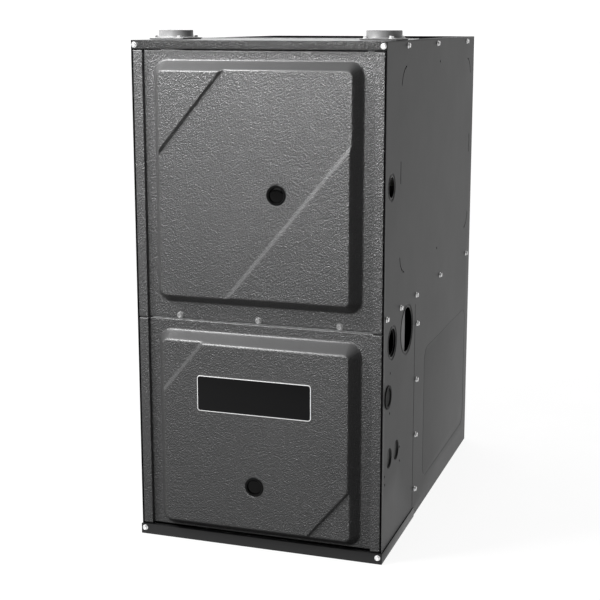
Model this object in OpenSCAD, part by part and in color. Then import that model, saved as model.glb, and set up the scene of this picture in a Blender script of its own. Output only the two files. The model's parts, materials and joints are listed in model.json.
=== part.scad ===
// Forced air gas furnace: an upflow steel cabinet with two lift-off doors, and what it holds.
// Millimetres, +Z up. The doors face -Y. The origin is on the floor, at the middle of the outline.
// Depths inside the modules count from the front edge of the casing, rearwards.

/* [Casing] */
// Width of the casing over its side sheets
case_w = 444.5; // [440:0.5:533]
// Depth of the casing, from its front edge to its back sheet
case_d = 711.2; // [700:0.1:760]
// Height of the casing
case_h = 876.3; // [870:0.1:1000]
// Thickness of the casing sheets
sheet_t = 1.2; // [1:0.1:1.4]
// Width of the folded edges that the doors rest against
stop_w = 24; // [20:1:26]
// Setback of those folded edges from the front of the casing
stop_y = 12; // [11.5:0.1:14]
// Width of the folded edges round the air outlet
outlet_edge = 19; // [14:1:24]
// Height of the hem at the front of the air outlet
outlet_hem = 1.6; // [1:0.1:3]
// Height of the rail above the doors
rail_h = 15; // [12:0.5:20]
// Depth of the space behind the doors, up to the inner upright sheet
front_d = 220; // [218:1:224]
// Height of the blower deck above the floor
deck_z = 431; // [429:1:436]
// Clearance between pieces that lie on each other
seat_gap = 0.3; // [0.2:0.05:0.4]

/* [Base] */
// Height of the front lip of the base
lip_h = 19; // [14:0.5:19.5]
// Distance of the lip's inner face in front of the casing
lip_gap = 0.8; // [0.4:0.1:1.5]
// Length of the side flanges of the base
flange_l = 230; // [150:1:300]

/* [Doors] */
// Thickness of the door sheets
door_t = 1.2; // [1:0.1:1.4]
// Height of the line where the doors meet
split_z = 400; // [398:1:405]
// Gap round the doors
door_gap = 1.8; // [1.2:0.1:2.4]
// Width of the proud strip along each side edge of a door
strip_w = 17; // [14:0.5:20]
// Depth of the door's border behind its strips
border_y = 8.4; // [7:0.1:9]
// How far the raised panel stands in front of the casing
panel_proud = 18.9; // [16:0.1:22]
// Depth of the steps pressed into the raised panel
step_d = 4.3; // [3:0.1:5]
// Width of the sloped edge round the raised panel
slope_w = 16; // [13:0.5:16]
// Corner radius of the raised panel
panel_r = 18; // [18:1:24]
// Distance of the raised panel from the side of the casing
panel_side = 39.2; // [39:0.2:44]
// Border above the upper panel, below the rail
upper_top_border = 18.5; // [15:0.5:24]
// Border below the upper panel, above the meeting line
upper_low_border = 32; // [28:0.5:36]
// Border above the lower panel, below the meeting line
lower_top_border = 19; // [15:0.5:24]
// Border below the lower panel, above the base lip
lower_low_border = 6; // [5:0.5:12]
// Slope of the diagonal steps, in degrees from the horizontal
step_angle = 50.2; // [45:0.1:55]
// Distance of the upper door's upper step from the panel's middle
upper_step_a = 161; // [150:1:170]
// Distance of the upper door's lower step from the panel's middle
upper_step_b = 81.6; // [74:0.2:90]
// Distance of the lower door's steps from the panel's middle
lower_step = 180; // [172:1:188]
// Distance between the screws along the foot of the upper door
door_screw_pitch = 144.5; // [130:0.5:160]
// Height of those screws above the meeting line
door_screw_up = 7; // [6.5:0.5:10]

/* [Sight windows and badge] */
// Diameter of the window holes in the doors
window_d = 31.5; // [26:0.5:34]
// Sideways place of the upper window
upper_window_x = 40.6; // [30:0.2:50]
// Height of the upper window
upper_window_z = 626; // [610:1:640]
// Height of the lower window
lower_window_z = 118.5; // [110:0.5:130]
// Width of the badge plate
badge_w = 206; // [150:1:220]
// Height of the badge plate
badge_h = 63; // [50:1:70]
// Height of the badge plate's middle above the floor
badge_z = 278.5; // [265:0.5:290]
// Thickness of the badge plate
badge_t = 1.4; // [1:0.1:2]

/* [Screws] */
// Diameter of the washer under a screw's head
washer_d = 10; // [9:0.1:10.5]
// Thickness of that washer
washer_t = 0.9; // [0.7:0.1:1.2]
// Width of the hexagonal head across its corners
hex_d = 8.1; // [7:0.1:8.6]
// Height of the hexagonal head
hex_h = 3; // [2.5:0.1:3.6]
// Diameter of the screw's shank
shank_d = 4; // [3.5:0.1:4.4]
// Length of the shank under the head
shank_l = 6; // [5:0.5:7]

/* [Pipe collars] */
// Outer diameter of the pipe collars
collar_d = 60.3; // [56:0.1:61]
// Distance of the collars from the sides of the casing
collar_side = 34.25; // [33.25:0.25:35.25]
// Distance of the collars behind the casing front
collar_y = 110; // [106:1:114]
// Height of the collars above the casing
collar_h = 16; // [14:0.5:24]
// Width of the collar's square plate
plate_w = 64; // [60:1:66]
// Depth of the collar's square plate
plate_d = 84; // [78:1:90]
// Thickness of the collar's plate
plate_t = 2; // [1.5:0.1:2.5]
// Thickness of the gasket under the plate
gasket_t = 1; // [0.8:0.1:1.6]
// Sideways distance of the plate's screws from its middle
plate_screw_x = 22; // [20:0.5:24]
// Front to back distance of the plate's screws from its middle
plate_screw_y = 36; // [35:0.5:36.5]
// Outer diameter of the pipes inside the cabinet
pipe_d = 52; // [50:0.2:52.4]
// Wall of those pipes
pipe_wall = 3; // [2.5:0.1:3.5]

/* [Side openings] */
// Depth of the round dimples pressed into the side sheets
dimple_d = 1.6; // [1:0.1:1.8]
// Width of the sloped ring of a dimple
dimple_w = 10; // [8:0.5:11]
// Diameter of the gas pipe hole
gas_hole_d = 34; // [30:0.5:38]
// Distance of the gas pipe hole behind the casing front
gas_hole_y = 40; // [39:0.5:42]
// Height of the gas pipe hole
gas_hole_z = 640; // [636:1:644]
// Diameter of the large hole
large_hole_d = 78; // [70:0.5:80]
// Diameter of the cable hole
cable_hole_d = 48; // [40:0.5:50]
// Diameter of the drain hole
drain_hole_d = 37; // [34:0.5:37.5]
// Diameter of the round knockouts
knockout_d = 35; // [30:0.5:36]
// Width of the slots and grooves that mark the knockouts
mark_w = 1.6; // [1.2:0.1:2]

/* [Blower] */
// Diameter of the blower wheel
wheel_d = 254; // [240:1:258]
// Width of the blower wheel
wheel_w = 203; // [190:1:206]
// Number of blades on the blower wheel
blade_count = 36; // [30:1:40]
// Diameter of the blower shaft
shaft_d = 12.7; // [12:0.1:14]
// Diameter of the blower motor
motor_d = 140; // [132:1:142]
// Running clearance round shafts and plungers
run_gap = 0.05; // [0.03:0.01:0.08]

/* [Heating section] */
// Distance of the burners' axis below the top of the casing
burner_drop = 76; // [72:1:82]
// Distance of the outer burners from the sides of the burner box
burner_side = 44; // [42:0.5:46]
// Diameter of the heat exchanger tubes
tube_d = 44.5; // [40:0.5:46]
// Wall of those tubes
tube_wall = 1.5; // [1.2:0.1:2]
// Height between the passes of a heat exchanger tube, as a share of the height above the deck
pass_share = 0.2437; // [0.23:0.001:0.25]
// Diameter of the gas manifold
manifold_d = 26.7; // [24:0.1:28]

/* [Hidden] */
$fn = 48;
skin = 0.01;
poke = 1;
badge_rim = 0.4;
front_reach = panel_proud + badge_t + badge_rim;
casing_front = -(case_d - front_reach) / 2;
half_w = case_w / 2;
collar_x = half_w - collar_side;
inner_x = half_w - sheet_t;
lining_x = inner_x - seat_gap;
door_half = inner_x - door_gap;
door_back = stop_y - 0.4;
rail_z = case_h - rail_h;
upper_z0 = split_z + door_gap / 2;
upper_z1 = rail_z - door_gap;
lower_z0 = lip_h + door_gap;
lower_z1 = split_z - door_gap / 2;
panel_half = half_w - panel_side;
upper_panel_z0 = split_z + upper_low_border;
upper_panel_z1 = rail_z - upper_top_border;
lower_panel_z0 = lip_h + lower_low_border;
lower_panel_z1 = split_z - lower_top_border;
step_y = step_d - panel_proud;
window_ring_w = 1.3;
window_lip = 0.8;
head_h = washer_t + hex_h;
deck_fold = deck_z - split_z + 4;
deck_top = deck_z + sheet_t;
side_screw_z = deck_z - 7.6;
inner_back = front_d + sheet_t;
top_screw_y = [138, 364, case_d - 76.2];
deck_screw_y = [17.4, 112.3, 226.1, 422.1, case_d - 37.4];
seam_screw_z = [51.9, 157.4, 262.9, 368.4];
seam_y = 220;
seam_screw_y = seam_y + 16.5;
seam_top = 407;
rail_screw_x = half_w - 6;
lip_screw_z = 11.7;
cable_hole_y = 56.5;
large_hole_y = 158;
side_holes_z = 375;
drain_hole_y = 32;
drain_hole_z = 286;
knockout_y = [45, 93];
knockout_z = 174.3;
pilot_holes = [[45.3, 324.4], [44.2, 254.5], [116, 172.4], [118, 145.8], [15.8, 151], [17.7, 136]];
pilot_d = 4.5;
mark_r = 38;
mark_y0 = 99;
mark_y1 = case_d - 33.2;
mark_z0 = 482;
mark_z1 = case_h - 42.3;
return_y0 = 300;
return_y1 = case_d - 35.2;
return_z0 = 50;
return_z1 = 305;
return_r = 26;
groove_d = 0.5;
spigot_d = pipe_d + 2.6;
spigot_l = 20;
plate_z = case_h + gasket_t;
plate_top = plate_z + plate_t;
blower_y = 455;
blower_z = 218;
scroll_half = wheel_w / 2 + 16.5;
scroll_r0 = wheel_d / 2 + 18;
scroll_r1 = scroll_r0 + 60;
scroll_top = deck_z - 3;
back_fold = 14;
cutoff_angle = -60;
flange_out = 14;
hub_r = 16;
blade_in = wheel_d / 2 - 19;
ring_t = 1.6;
motor_x0 = -150;
motor_x1 = -20;
bracket_y = 70;
bracket_half = half_w - 57.25;
bracket_top = 225;
board_y = 55;
board_t = 1.6;
board_share = (2 * bracket_half - 135) / 195;
burner_z = case_h - burner_drop;
pass_pitch = round((burner_z - deck_z) * pass_share);
box_half = half_w - 70.25;
burner_pitch = 2 * (box_half - burner_side) / 3;
burner_x = [-1.5, -0.5, 0.5, 1.5] * burner_pitch;
box_y = 80;
box_z0 = burner_z - 55;
box_z1 = burner_z + 48;
cover_y = box_y - 1.5;
manifold_y = 60;
valve_z0 = gas_hole_z - 25;
valve_z1 = gas_hole_z + 35;
valve_y0 = 22;
knob_y = 14.5;
rollout_x = box_half - 20;
rollout_z = burner_z + 28;
bend_r = pass_pitch / 2;
rear_bend_y = case_d - 75;
front_bend_y = front_d + 70;
low_pass_z = burner_z - 2 * pass_pitch;
header_y0 = case_d - 101;
header_y1 = case_d - 16;
coil_z0 = deck_z + 24;
coil_z1 = low_pass_z - tube_d / 2 - 22;
coil_half = half_w - 62.25;
collector_half = half_w - 72.25;
collector_y = 141;
inducer_r = 85;
inducer_x = collar_x - inducer_r + pipe_d / 2 + 2.5;
inducer_z = deck_z + 99;
inducer_y0 = collar_y - 29;
inducer_y1 = collector_y - seat_gap;
inducer_shaft_d = 8;
outlet_top = inducer_z + 120;
switch_x = half_w - 34.25;
switch_z = split_z - 28;
plunger_gap = 0.8;
trap_x = inner_x - 8;
trap_y = 85;
trap_top = side_holes_z - 41;
pressure_x = 30 - collector_half;
pressure_z = coil_z1 + 64;

// Paint and metal colours
dark_paint = [0.30, 0.31, 0.33];
door_paint = [0.40, 0.41, 0.43];
bare_steel = [0.72, 0.73, 0.74];
light_grey = [0.78, 0.78, 0.78];
black = [0.08, 0.08, 0.09];

// Places a piece whose depth is counted from the front of the casing
module in_case() {
    translate([0, casing_front, 0]) children();
}

// Box between two corners
module box(low, high) {
    translate(low) cube(high - low);
}

// Cylinder that starts at a point and runs along +X, +Y or +Z
module rod_x(at, d, l) {
    translate(at) rotate([0, 90, 0]) cylinder(d = d, h = l);
}
module rod_y(at, d, l) {
    translate(at) rotate([-90, 0, 0]) cylinder(d = d, h = l);
}
module rod_z(at, d, l) {
    translate(at) cylinder(d = d, h = l);
}

// Hexagonal washer-head screw: the head stands on z = 0, the shank hangs below
module hex_screw() {
    cylinder(d = washer_d, h = washer_t);
    translate([0, 0, washer_t - skin]) cylinder(d = hex_d, h = hex_h + skin, $fn = 6);
    translate([0, 0, -shank_l]) cylinder(d = shank_d, h = shank_l + skin);
}
module screw_front(at) {
    translate(at) rotate([90, 0, 0]) hex_screw();
}
module screw_right(at) {
    translate(at) rotate([0, 90, 0]) hex_screw();
}

// Round tube or bundle along a list of points, with a bend of radius r at each inner point
function unit(v) = v / norm(v);
function turn(a, b, c) = acos(unit(b - a) * unit(c - b));
function trim(pts, i, r) = (i <= 0 || i >= len(pts) - 1) ? 0
    : r * tan(turn(pts[i - 1], pts[i], pts[i + 1]) / 2);
module run_between(a, b, d) {
    v = b - a;
    l = norm(v);
    translate(a)
        rotate([0, acos(v[2] / l), atan2(v[1], v[0])])
            cylinder(d = d, h = l);
}
module bend_at(a, b, c, d, r) {
    u = unit(b - a);
    w = unit(c - b);
    axis = unit(cross(u, w));
    out = cross(u, axis);
    angle = turn(a, b, c);
    start = b - u * r * tan(angle / 2);
    centre = start - out * r;
    multmatrix([[out[0], u[0], axis[0], centre[0]],
                [out[1], u[1], axis[1], centre[1]],
                [out[2], u[2], axis[2], centre[2]],
                [0, 0, 0, 1]])
        rotate_extrude(angle = angle) translate([r, 0]) circle(d = d);
}
module bent_run(pts, d, r) {
    for (i = [0 : len(pts) - 2]) {
        u = unit(pts[i + 1] - pts[i]);
        run_between(pts[i] + u * trim(pts, i, r), pts[i + 1] - u * trim(pts, i + 1, r), d);
    }
    for (i = [1 : 1 : len(pts) - 2]) bend_at(pts[i - 1], pts[i], pts[i + 1], d, r);
}

// ---------------------------------------------------------------- casing

// Sloped ring and floor pressed inwards round a hole in the right side sheet
module dimple(y, z, d) {
    translate([inner_x - dimple_d, y, z]) rotate([0, 90, 0])
        cylinder(d1 = d + sheet_t, d2 = d + sheet_t + 2 * dimple_w, h = dimple_d + skin);
}
module dimple_cut(y, z, d) {
    translate([half_w - dimple_d, y, z]) rotate([0, 90, 0])
        cylinder(d1 = d, d2 = d + 2 * dimple_w, h = dimple_d);
    rod_x([half_w - dimple_d - sheet_t - poke, y, z], d, sheet_t + poke + skin);
    rod_x([half_w, y, z], d + 2 * dimple_w, poke);
}

// Quarter-round slot through the side sheet, at one corner of the large knockout
module corner_slot(y, z, turn_by) {
    translate([inner_x - poke, y, z]) rotate([turn_by, 0, 0]) rotate([0, 90, 0])
        rotate([0, 0, 10]) rotate_extrude(angle = 70)
            translate([mark_r - mark_w / 2, 0]) square([mark_w, sheet_t + 2 * poke]);
}

// Closed groove in the outer face of the side sheet, round the return air knockout
module return_outline(grow) {
    r = return_r + grow;
    for (y = [return_y0 + return_r, return_y1 - return_r])
        for (z = [return_z0 + return_r, return_z1 - return_r])
            rod_x([half_w - groove_d, y, z], 2 * r, groove_d + poke);
    box([half_w - groove_d, return_y0 - grow, return_z0 + return_r],
        [half_w + poke, return_y1 + grow, return_z1 - return_r]);
    box([half_w - groove_d, return_y0 + return_r, return_z0 - grow],
        [half_w + poke, return_y1 - return_r, return_z1 + grow]);
}

module side_marks() {
    corner_slot(mark_y0 + mark_r, mark_z1 - mark_r, 180);
    corner_slot(mark_y1 - mark_r, mark_z1 - mark_r, 90);
    corner_slot(mark_y0 + mark_r, mark_z0 + mark_r, 270);
    corner_slot(mark_y1 - mark_r, mark_z0 + mark_r, 0);
    for (y = [mark_y0, mark_y1])
        box([inner_x - poke, y - mark_w / 2, (mark_z0 + mark_z1) / 2 - 19],
            [half_w + poke, y + mark_w / 2, (mark_z0 + mark_z1) / 2 + 19]);
    for (z = [mark_z0, mark_z1])
        rod_x([inner_x - poke, (mark_y0 + mark_y1) / 2, z], pilot_d, sheet_t + 2 * poke);
    difference() {
        return_outline(mark_w / 2);
        return_outline(-mark_w / 2);
    }
    box([half_w - groove_d, seam_y - mark_w / 2, lip_h], [half_w + poke, seam_y + mark_w / 2, seam_top]);
}

module side_screw_holes(d) {
    for (y = top_screw_y) rod_x([inner_x - poke, y, case_h - 9], d, sheet_t + 2 * poke);
    for (y = deck_screw_y) rod_x([inner_x - poke, y, side_screw_z], d, sheet_t + 2 * poke);
    for (z = seam_screw_z) rod_x([inner_x - poke, seam_screw_y, z], d, sheet_t + 2 * poke);
}

module right_side() {
    difference() {
        union() {
            box([inner_x, 0, sheet_t], [half_w, case_d, case_h]);
            box([half_w - stop_w, stop_y, sheet_t], [inner_x, stop_y + sheet_t, case_h - sheet_t - seat_gap]);
            box([half_w - outlet_edge, inner_back + seat_gap, case_h - sheet_t],
                [inner_x, case_d - sheet_t - seat_gap, case_h]);
            dimple(gas_hole_y, gas_hole_z, gas_hole_d);
            dimple(large_hole_y, side_holes_z, large_hole_d);
            dimple(cable_hole_y, side_holes_z, cable_hole_d);
        }
        dimple_cut(gas_hole_y, gas_hole_z, gas_hole_d);
        dimple_cut(large_hole_y, side_holes_z, large_hole_d);
        dimple_cut(cable_hole_y, side_holes_z, cable_hole_d);
        rod_x([inner_x - poke, drain_hole_y, drain_hole_z], drain_hole_d, sheet_t + 2 * poke);
        for (y = knockout_y) difference() {
            rod_x([half_w - groove_d, y, knockout_z], knockout_d, groove_d + poke);
            rod_x([half_w - groove_d - poke, y, knockout_z], knockout_d - 2 * mark_w, 3 * poke);
        }
        for (p = pilot_holes) rod_x([inner_x - poke, p[0], p[1]], pilot_d, sheet_t + 2 * poke);
        side_marks();
        side_screw_holes(shank_d + 2 * seat_gap);
        rod_y([rail_screw_x, stop_y - poke, case_h - 8], shank_d + 2 * seat_gap, sheet_t + 2 * poke);
        rod_y([rail_screw_x, stop_y - poke, lip_screw_z], shank_d + 2 * seat_gap, sheet_t + 2 * poke);
    }
}

module right_side_panel() {
    color(dark_paint) in_case() right_side();
}
module left_side_panel() {
    color(dark_paint) in_case() mirror([1, 0, 0]) right_side();
}

// Back sheet with folded edges along the sides and the outlet, and three stiffening beads
module back_panel() {
    back_x = lining_x;
    bead_r = 7;
    bead_in = 3;
    y1 = case_d;
    color(dark_paint) in_case() difference() {
        union() {
            box([-back_x, y1 - sheet_t, sheet_t], [back_x, y1, case_h]);
            for (s = [-1, 1]) translate([s * (back_x - sheet_t / 2), 0, 0])
                box([-sheet_t / 2, y1 - back_fold, sheet_t],
                    [sheet_t / 2, y1 - sheet_t, case_h - sheet_t - seat_gap]);
            box([outlet_edge + seat_gap - half_w, y1 - outlet_edge, case_h - sheet_t],
                [half_w - outlet_edge - seat_gap, y1 - sheet_t, case_h]);
            for (i = [1 : 3]) rod_x([-half_w * 0.8, y1 + bead_r - bead_in - sheet_t, case_h * i / 4],
                2 * bead_r, case_w * 0.8);
        }
        for (i = [1 : 3]) rod_x([-half_w * 0.8 + sheet_t, y1 + bead_r - bead_in, case_h * i / 4],
            2 * bead_r, case_w * 0.8 - 2 * sheet_t);
        box([-case_w, y1, -poke], [case_w, y1 + 4 * bead_r, case_h + poke]);
    }
}

// Base: floor sheet, front lip and two side flanges, with the outline of a floor knockout
module base_pan() {
    flange_x = half_w + seat_gap;
    lip_y = -lip_gap;
    color(black) in_case() difference() {
        union() {
            box([-half_w, 0, 0], [half_w, case_d, sheet_t]);
            box([-flange_x - sheet_t, lip_y - sheet_t, 0], [flange_x + sheet_t, flange_l, sheet_t]);
            box([-flange_x - sheet_t, lip_y - sheet_t, 0], [flange_x + sheet_t, lip_y, lip_h]);
            for (s = [-1, 1]) translate([s * (flange_x + sheet_t / 2), 0, 0])
                box([-sheet_t / 2, lip_y - sheet_t, 0], [sheet_t / 2, flange_l, lip_h - 1]);
        }
        for (s = [-1, 1]) rod_y([s * rail_screw_x, lip_y - sheet_t - poke, lip_screw_z],
            shank_d + 2 * seat_gap, sheet_t + 2 * poke);
        difference() {
            box([-half_w + 40, 60, -poke], [half_w - 40, case_d - 40, groove_d]);
            box([-half_w + 40 + mark_w, 60 + mark_w, -2 * poke],
                [half_w - 40 - mark_w, case_d - 40 - mark_w, poke]);
        }
    }
}

// Bare metal plate that closes the top in front of the air outlet
module top_plate() {
    y0 = sheet_t + seat_gap;
    color(bare_steel) in_case() difference() {
        union() {
            box([-lining_x, y0, case_h - sheet_t], [lining_x, front_d - seat_gap, case_h]);
            for (s = [-1, 1]) translate([s * (lining_x - sheet_t / 2), 0, 0])
                box([-sheet_t / 2, stop_y + sheet_t + 2, case_h - 18],
                    [sheet_t / 2, front_d - 2, case_h - sheet_t]);
        }
        for (s = [-1, 1]) {
            rod_z([s * collar_x, collar_y, case_h - 2 * sheet_t], spigot_d + 2 * seat_gap, 3 * sheet_t);
            for (x = [-1, 1]) for (y = [-1, 1])
                rod_z([s * collar_x + x * plate_screw_x, collar_y + y * plate_screw_y, case_h - 2 * sheet_t],
                    shank_d + 2 * seat_gap, 3 * sheet_t);
            rod_x([s * lining_x - 2 * sheet_t, top_screw_y[0], case_h - 9],
                shank_d + 2 * seat_gap, 4 * sheet_t);
        }
    }
}

// Painted rail between the doors and the top, folded back under its lower edge
module front_rail() {
    rail_half = inner_x - seat_gap;
    color(door_paint) in_case() difference() {
        union() {
            box([-rail_half, 0, rail_z], [rail_half, sheet_t, case_h]);
            box([-rail_half, 0, rail_z], [rail_half, stop_y - seat_gap, rail_z + sheet_t]);
        }
        for (s = [-1, 1]) rod_y([s * rail_screw_x, -poke, case_h - 8],
            shank_d + 2 * seat_gap, sheet_t + 2 * poke);
    }
}

// Deck that carries the blower, with a fold down behind the line where the doors meet
module blower_deck() {
    edge_x = half_w - stop_w - seat_gap;
    color(bare_steel) in_case() difference() {
        union() {
            box([-lining_x, stop_y + sheet_t + seat_gap, deck_z],
                [lining_x, case_d - sheet_t - seat_gap, deck_top]);
            box([-edge_x, stop_y, deck_z], [edge_x, stop_y + 2 * sheet_t + seat_gap, deck_top]);
            box([-edge_x, stop_y, deck_z - deck_fold], [edge_x, stop_y + sheet_t, deck_z + skin]);
            for (s = [-1, 1]) translate([s * (lining_x - sheet_t / 2), 0, 0])
                box([-sheet_t / 2, stop_y + 2 * sheet_t, deck_z - 18],
                    [sheet_t / 2, case_d - 20, deck_z + skin]);
        }
        for (s = [-1, 1]) translate([s * lining_x, 0, 0])
            box([-sheet_t - seat_gap, case_d - back_fold - seat_gap, deck_z - poke],
                [sheet_t + seat_gap, case_d, deck_top + poke]);
        box([-scroll_half + 2, blower_y - scroll_r1 + 2, deck_z - poke],
            [scroll_half - 2, blower_y + scroll_mouth() - 2, deck_top + poke]);
        for (s = [-1, 1]) for (y = deck_screw_y)
            rod_x([s * lining_x - 2 * sheet_t, y, side_screw_z], shank_d + 2 * seat_gap, 4 * sheet_t);
        for (x = [-1, 0, 1]) rod_y([x * door_screw_pitch, stop_y - poke, split_z + door_screw_up],
            shank_d + 2 * seat_gap, sheet_t + 2 * poke);
        rod_z([-trap_x + 24, trap_y, deck_z - poke], 22, sheet_t + 2 * poke);
        for (s = [-1, 1]) rod_x([s * lining_x - 2 * sheet_t, large_hole_y, side_holes_z],
            large_hole_d + 2 * dimple_w + 3, 4 * sheet_t);
    }
}

// Upright sheet between the space behind the doors and the heat exchanger
module inner_panel() {
    color(bare_steel) in_case() difference() {
        box([-lining_x, front_d, deck_top], [lining_x, inner_back, case_h + outlet_hem]);
        for (x = burner_x) rod_y([x, front_d - poke, burner_z], tube_d + 2 * seat_gap, sheet_t + 2 * poke);
        box([-collector_half + 5 - seat_gap, front_d - poke, coil_z0 + 10 - seat_gap],
            [collector_half - 5 + seat_gap, inner_back + poke, coil_z1 - 10 + seat_gap]);
    }
}

// Hexagonal screws of the casing: both sides, the rail, the base lip and the collars
module casing_screws() {
    color(light_grey) in_case() for (s = [0, 1]) mirror([s, 0, 0]) {
        for (y = top_screw_y) screw_right([half_w, y, case_h - 9]);
        for (y = deck_screw_y) screw_right([half_w, y, side_screw_z]);
        for (z = seam_screw_z) screw_right([half_w, seam_screw_y, z]);
        screw_front([rail_screw_x, 0, case_h - 8]);
        screw_front([rail_screw_x, -lip_gap - sheet_t, lip_screw_z]);
        for (x = [-1, 1]) for (y = [-1, 1])
            translate([collar_x + x * plate_screw_x, collar_y + y * plate_screw_y, plate_top]) hex_screw();
    }
}

// ---------------------------------------------------------------- doors

// Corner radius of the raised panel's slope at depth y, for a surface drawn in by t
function slope_r(y, t) = panel_r - t - slope_w * (border_y + t - y) / (border_y + panel_proud);

// Block with rounded corners and sloping sides, from depth ya forward to depth yb
module sloped_block(z0, z1, ya, yb, t) {
    cx = panel_half - panel_r;
    cz = [z0 + panel_r, z1 - panel_r];
    ra = slope_r(ya, t);
    rb = slope_r(yb, t);
    for (x = [-cx, cx]) for (z = cz)
        translate([x, ya, z]) rotate([90, 0, 0]) cylinder(r1 = ra, r2 = rb, h = ya - yb);
    translate([0, 0, cz[0]]) linear_extrude(height = cz[1] - cz[0])
        polygon([[-cx - ra, ya], [cx + ra, ya], [cx + rb, yb], [-cx - rb, yb]]);
    translate([-cx, 0, 0]) rotate([90, 0, 90]) linear_extrude(height = 2 * cx)
        polygon([[ya, cz[0] - ra], [ya, cz[1] + ra], [yb, cz[1] + rb], [yb, cz[0] - rb]]);
}

// Straight prism along the diagonal through the panel's middle, with its section drawn
// as distance from that diagonal, positive to the upper left, and depth
module diagonal_prism(mid_z, section) {
    reach = 0.8 * case_h;
    translate([0, 0, mid_z]) rotate([0, -step_angle, 0]) rotate([0, -90, 0])
        translate([0, 0, -reach]) linear_extrude(height = 2 * reach) polygon(section);
}

// Hollow in front of the upper panel's middle band, with steps that slope at 45 degrees
module upper_hollow(t) {
    face = t - panel_proud;
    foot = step_y + t;
    a = upper_step_a + 0.4 * t;
    b = upper_step_b + 0.4 * t;
    diagonal_prism((upper_panel_z0 + upper_panel_z1) / 2, [[a, foot], [a + step_d, face],
        [a + step_d + 5, face - 5], [-b - step_d - 5, face - 5], [-b - step_d, face], [-b, foot]]);
}

// Hollows in front of the lower panel's two corners, outside its middle band
module lower_hollow(t) {
    face = t - panel_proud;
    foot = step_y + t;
    c = lower_step - 0.4 * t;
    for (s = [-1, 1])
        diagonal_prism((lower_panel_z0 + lower_panel_z1) / 2, [[s * c, foot], [s * (c - step_d), face],
            [s * (c - step_d - 5), face - 5], [s * 0.8 * case_h, face - 5], [s * 0.8 * case_h, foot]]);
}

// Pressed door: flat border, proud strips along both sides, folded edges, and room for the panel
module door_pan(z0, z1) {
    difference() {
        union() {
            box([-door_half, border_y, z0], [door_half, door_back, z1]);
            for (s = [-1, 1]) translate([s * (door_half - strip_w / 2), 0, 0])
                box([-strip_w / 2, 0, z0], [strip_w / 2, door_back, z1]);
        }
        box([-door_half + door_t, border_y + door_t, z0 + door_t],
            [door_half - door_t, door_back + poke, z1 - door_t]);
        for (s = [-1, 1]) translate([s * (door_half - strip_w / 2), 0, 0])
            box([door_t - strip_w / 2, door_t, z0 + door_t],
                [strip_w / 2 - door_t, door_back + poke, z1 - door_t]);
    }
}

module upper_door() {
    color(door_paint) in_case() difference() {
        union() {
            door_pan(upper_z0, upper_z1);
            difference() {
                sloped_block(upper_panel_z0, upper_panel_z1, border_y + door_t / 2, -panel_proud, 0);
                upper_hollow(0);
            }
        }
        difference() {
            sloped_block(upper_panel_z0, upper_panel_z1, border_y + door_t + poke,
                door_t - panel_proud, door_t);
            upper_hollow(door_t);
        }
        rod_y([upper_window_x, -2 * panel_proud, upper_window_z], window_d, 3 * panel_proud);
        for (x = [-1, 0, 1]) rod_y([x * door_screw_pitch, border_y - poke, split_z + door_screw_up],
            shank_d + 2 * seat_gap, door_t + 2 * poke);
    }
}

module lower_door() {
    color(door_paint) in_case() difference() {
        union() {
            door_pan(lower_z0, lower_z1);
            difference() {
                sloped_block(lower_panel_z0, lower_panel_z1, border_y + door_t / 2, -panel_proud, 0);
                lower_hollow(0);
            }
        }
        difference() {
            sloped_block(lower_panel_z0, lower_panel_z1, border_y + door_t + poke,
                door_t - panel_proud, door_t);
            lower_hollow(door_t);
        }
        rod_y([0, -2 * panel_proud, lower_window_z], window_d, 3 * panel_proud);
    }
}

module upper_door_screws() {
    color(light_grey) in_case()
        for (x = [-1, 0, 1]) screw_front([x * door_screw_pitch, border_y, split_z + door_screw_up]);
}

// Rubber ring that grips the edge of a window hole, its lip in front of the face
module window_ring(x, z, face_y) {
    outer = window_d - 2 * seat_gap / 3;
    translate([x, face_y, z]) rotate([-90, 0, 0]) difference() {
        union() {
            translate([0, 0, -window_lip]) cylinder(d = window_d + 2 * window_ring_w, h = window_lip);
            translate([0, 0, -skin]) cylinder(d = outer, h = 6);
        }
        translate([0, 0, -poke - window_lip]) cylinder(d = outer - 5, h = 8 + poke);
    }
}
module window_lens(x, z, face_y) {
    rod_y([x, face_y + 1.5, z], window_d - 5 - 2 * seat_gap / 3 - 0.1, 2);
}
module upper_window_ring() {
    color(black) in_case() window_ring(upper_window_x, upper_window_z, step_y);
}
module upper_window_lens() {
    color(black) in_case() window_lens(upper_window_x, upper_window_z, step_y);
}
module lower_window_ring() {
    color(black) in_case() window_ring(0, lower_window_z, -panel_proud);
}
module lower_window_lens() {
    color(black) in_case() window_lens(0, lower_window_z, -panel_proud);
}

// Plain badge plate with a raised rim
module badge_shape(grow, y0, y1) {
    r = 6 + grow;
    for (x = [-1, 1]) for (z = [-1, 1])
        rod_y([x * (badge_w / 2 - 6), y0, badge_z + z * (badge_h / 2 - 6)], 2 * r, y1 - y0);
    box([-badge_w / 2 + 6, y0, badge_z - badge_h / 2 - grow],
        [badge_w / 2 - 6, y1, badge_z + badge_h / 2 + grow]);
    box([-badge_w / 2 - grow, y0, badge_z - badge_h / 2 + 6],
        [badge_w / 2 + grow, y1, badge_z + badge_h / 2 - 6]);
}
module badge_plate() {
    color(black) in_case() difference() {
        badge_shape(0, -front_reach, -panel_proud);
        badge_shape(-1.6, -front_reach - poke, badge_rim - front_reach);
    }
}

// ---------------------------------------------------------------- pipe collars

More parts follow.
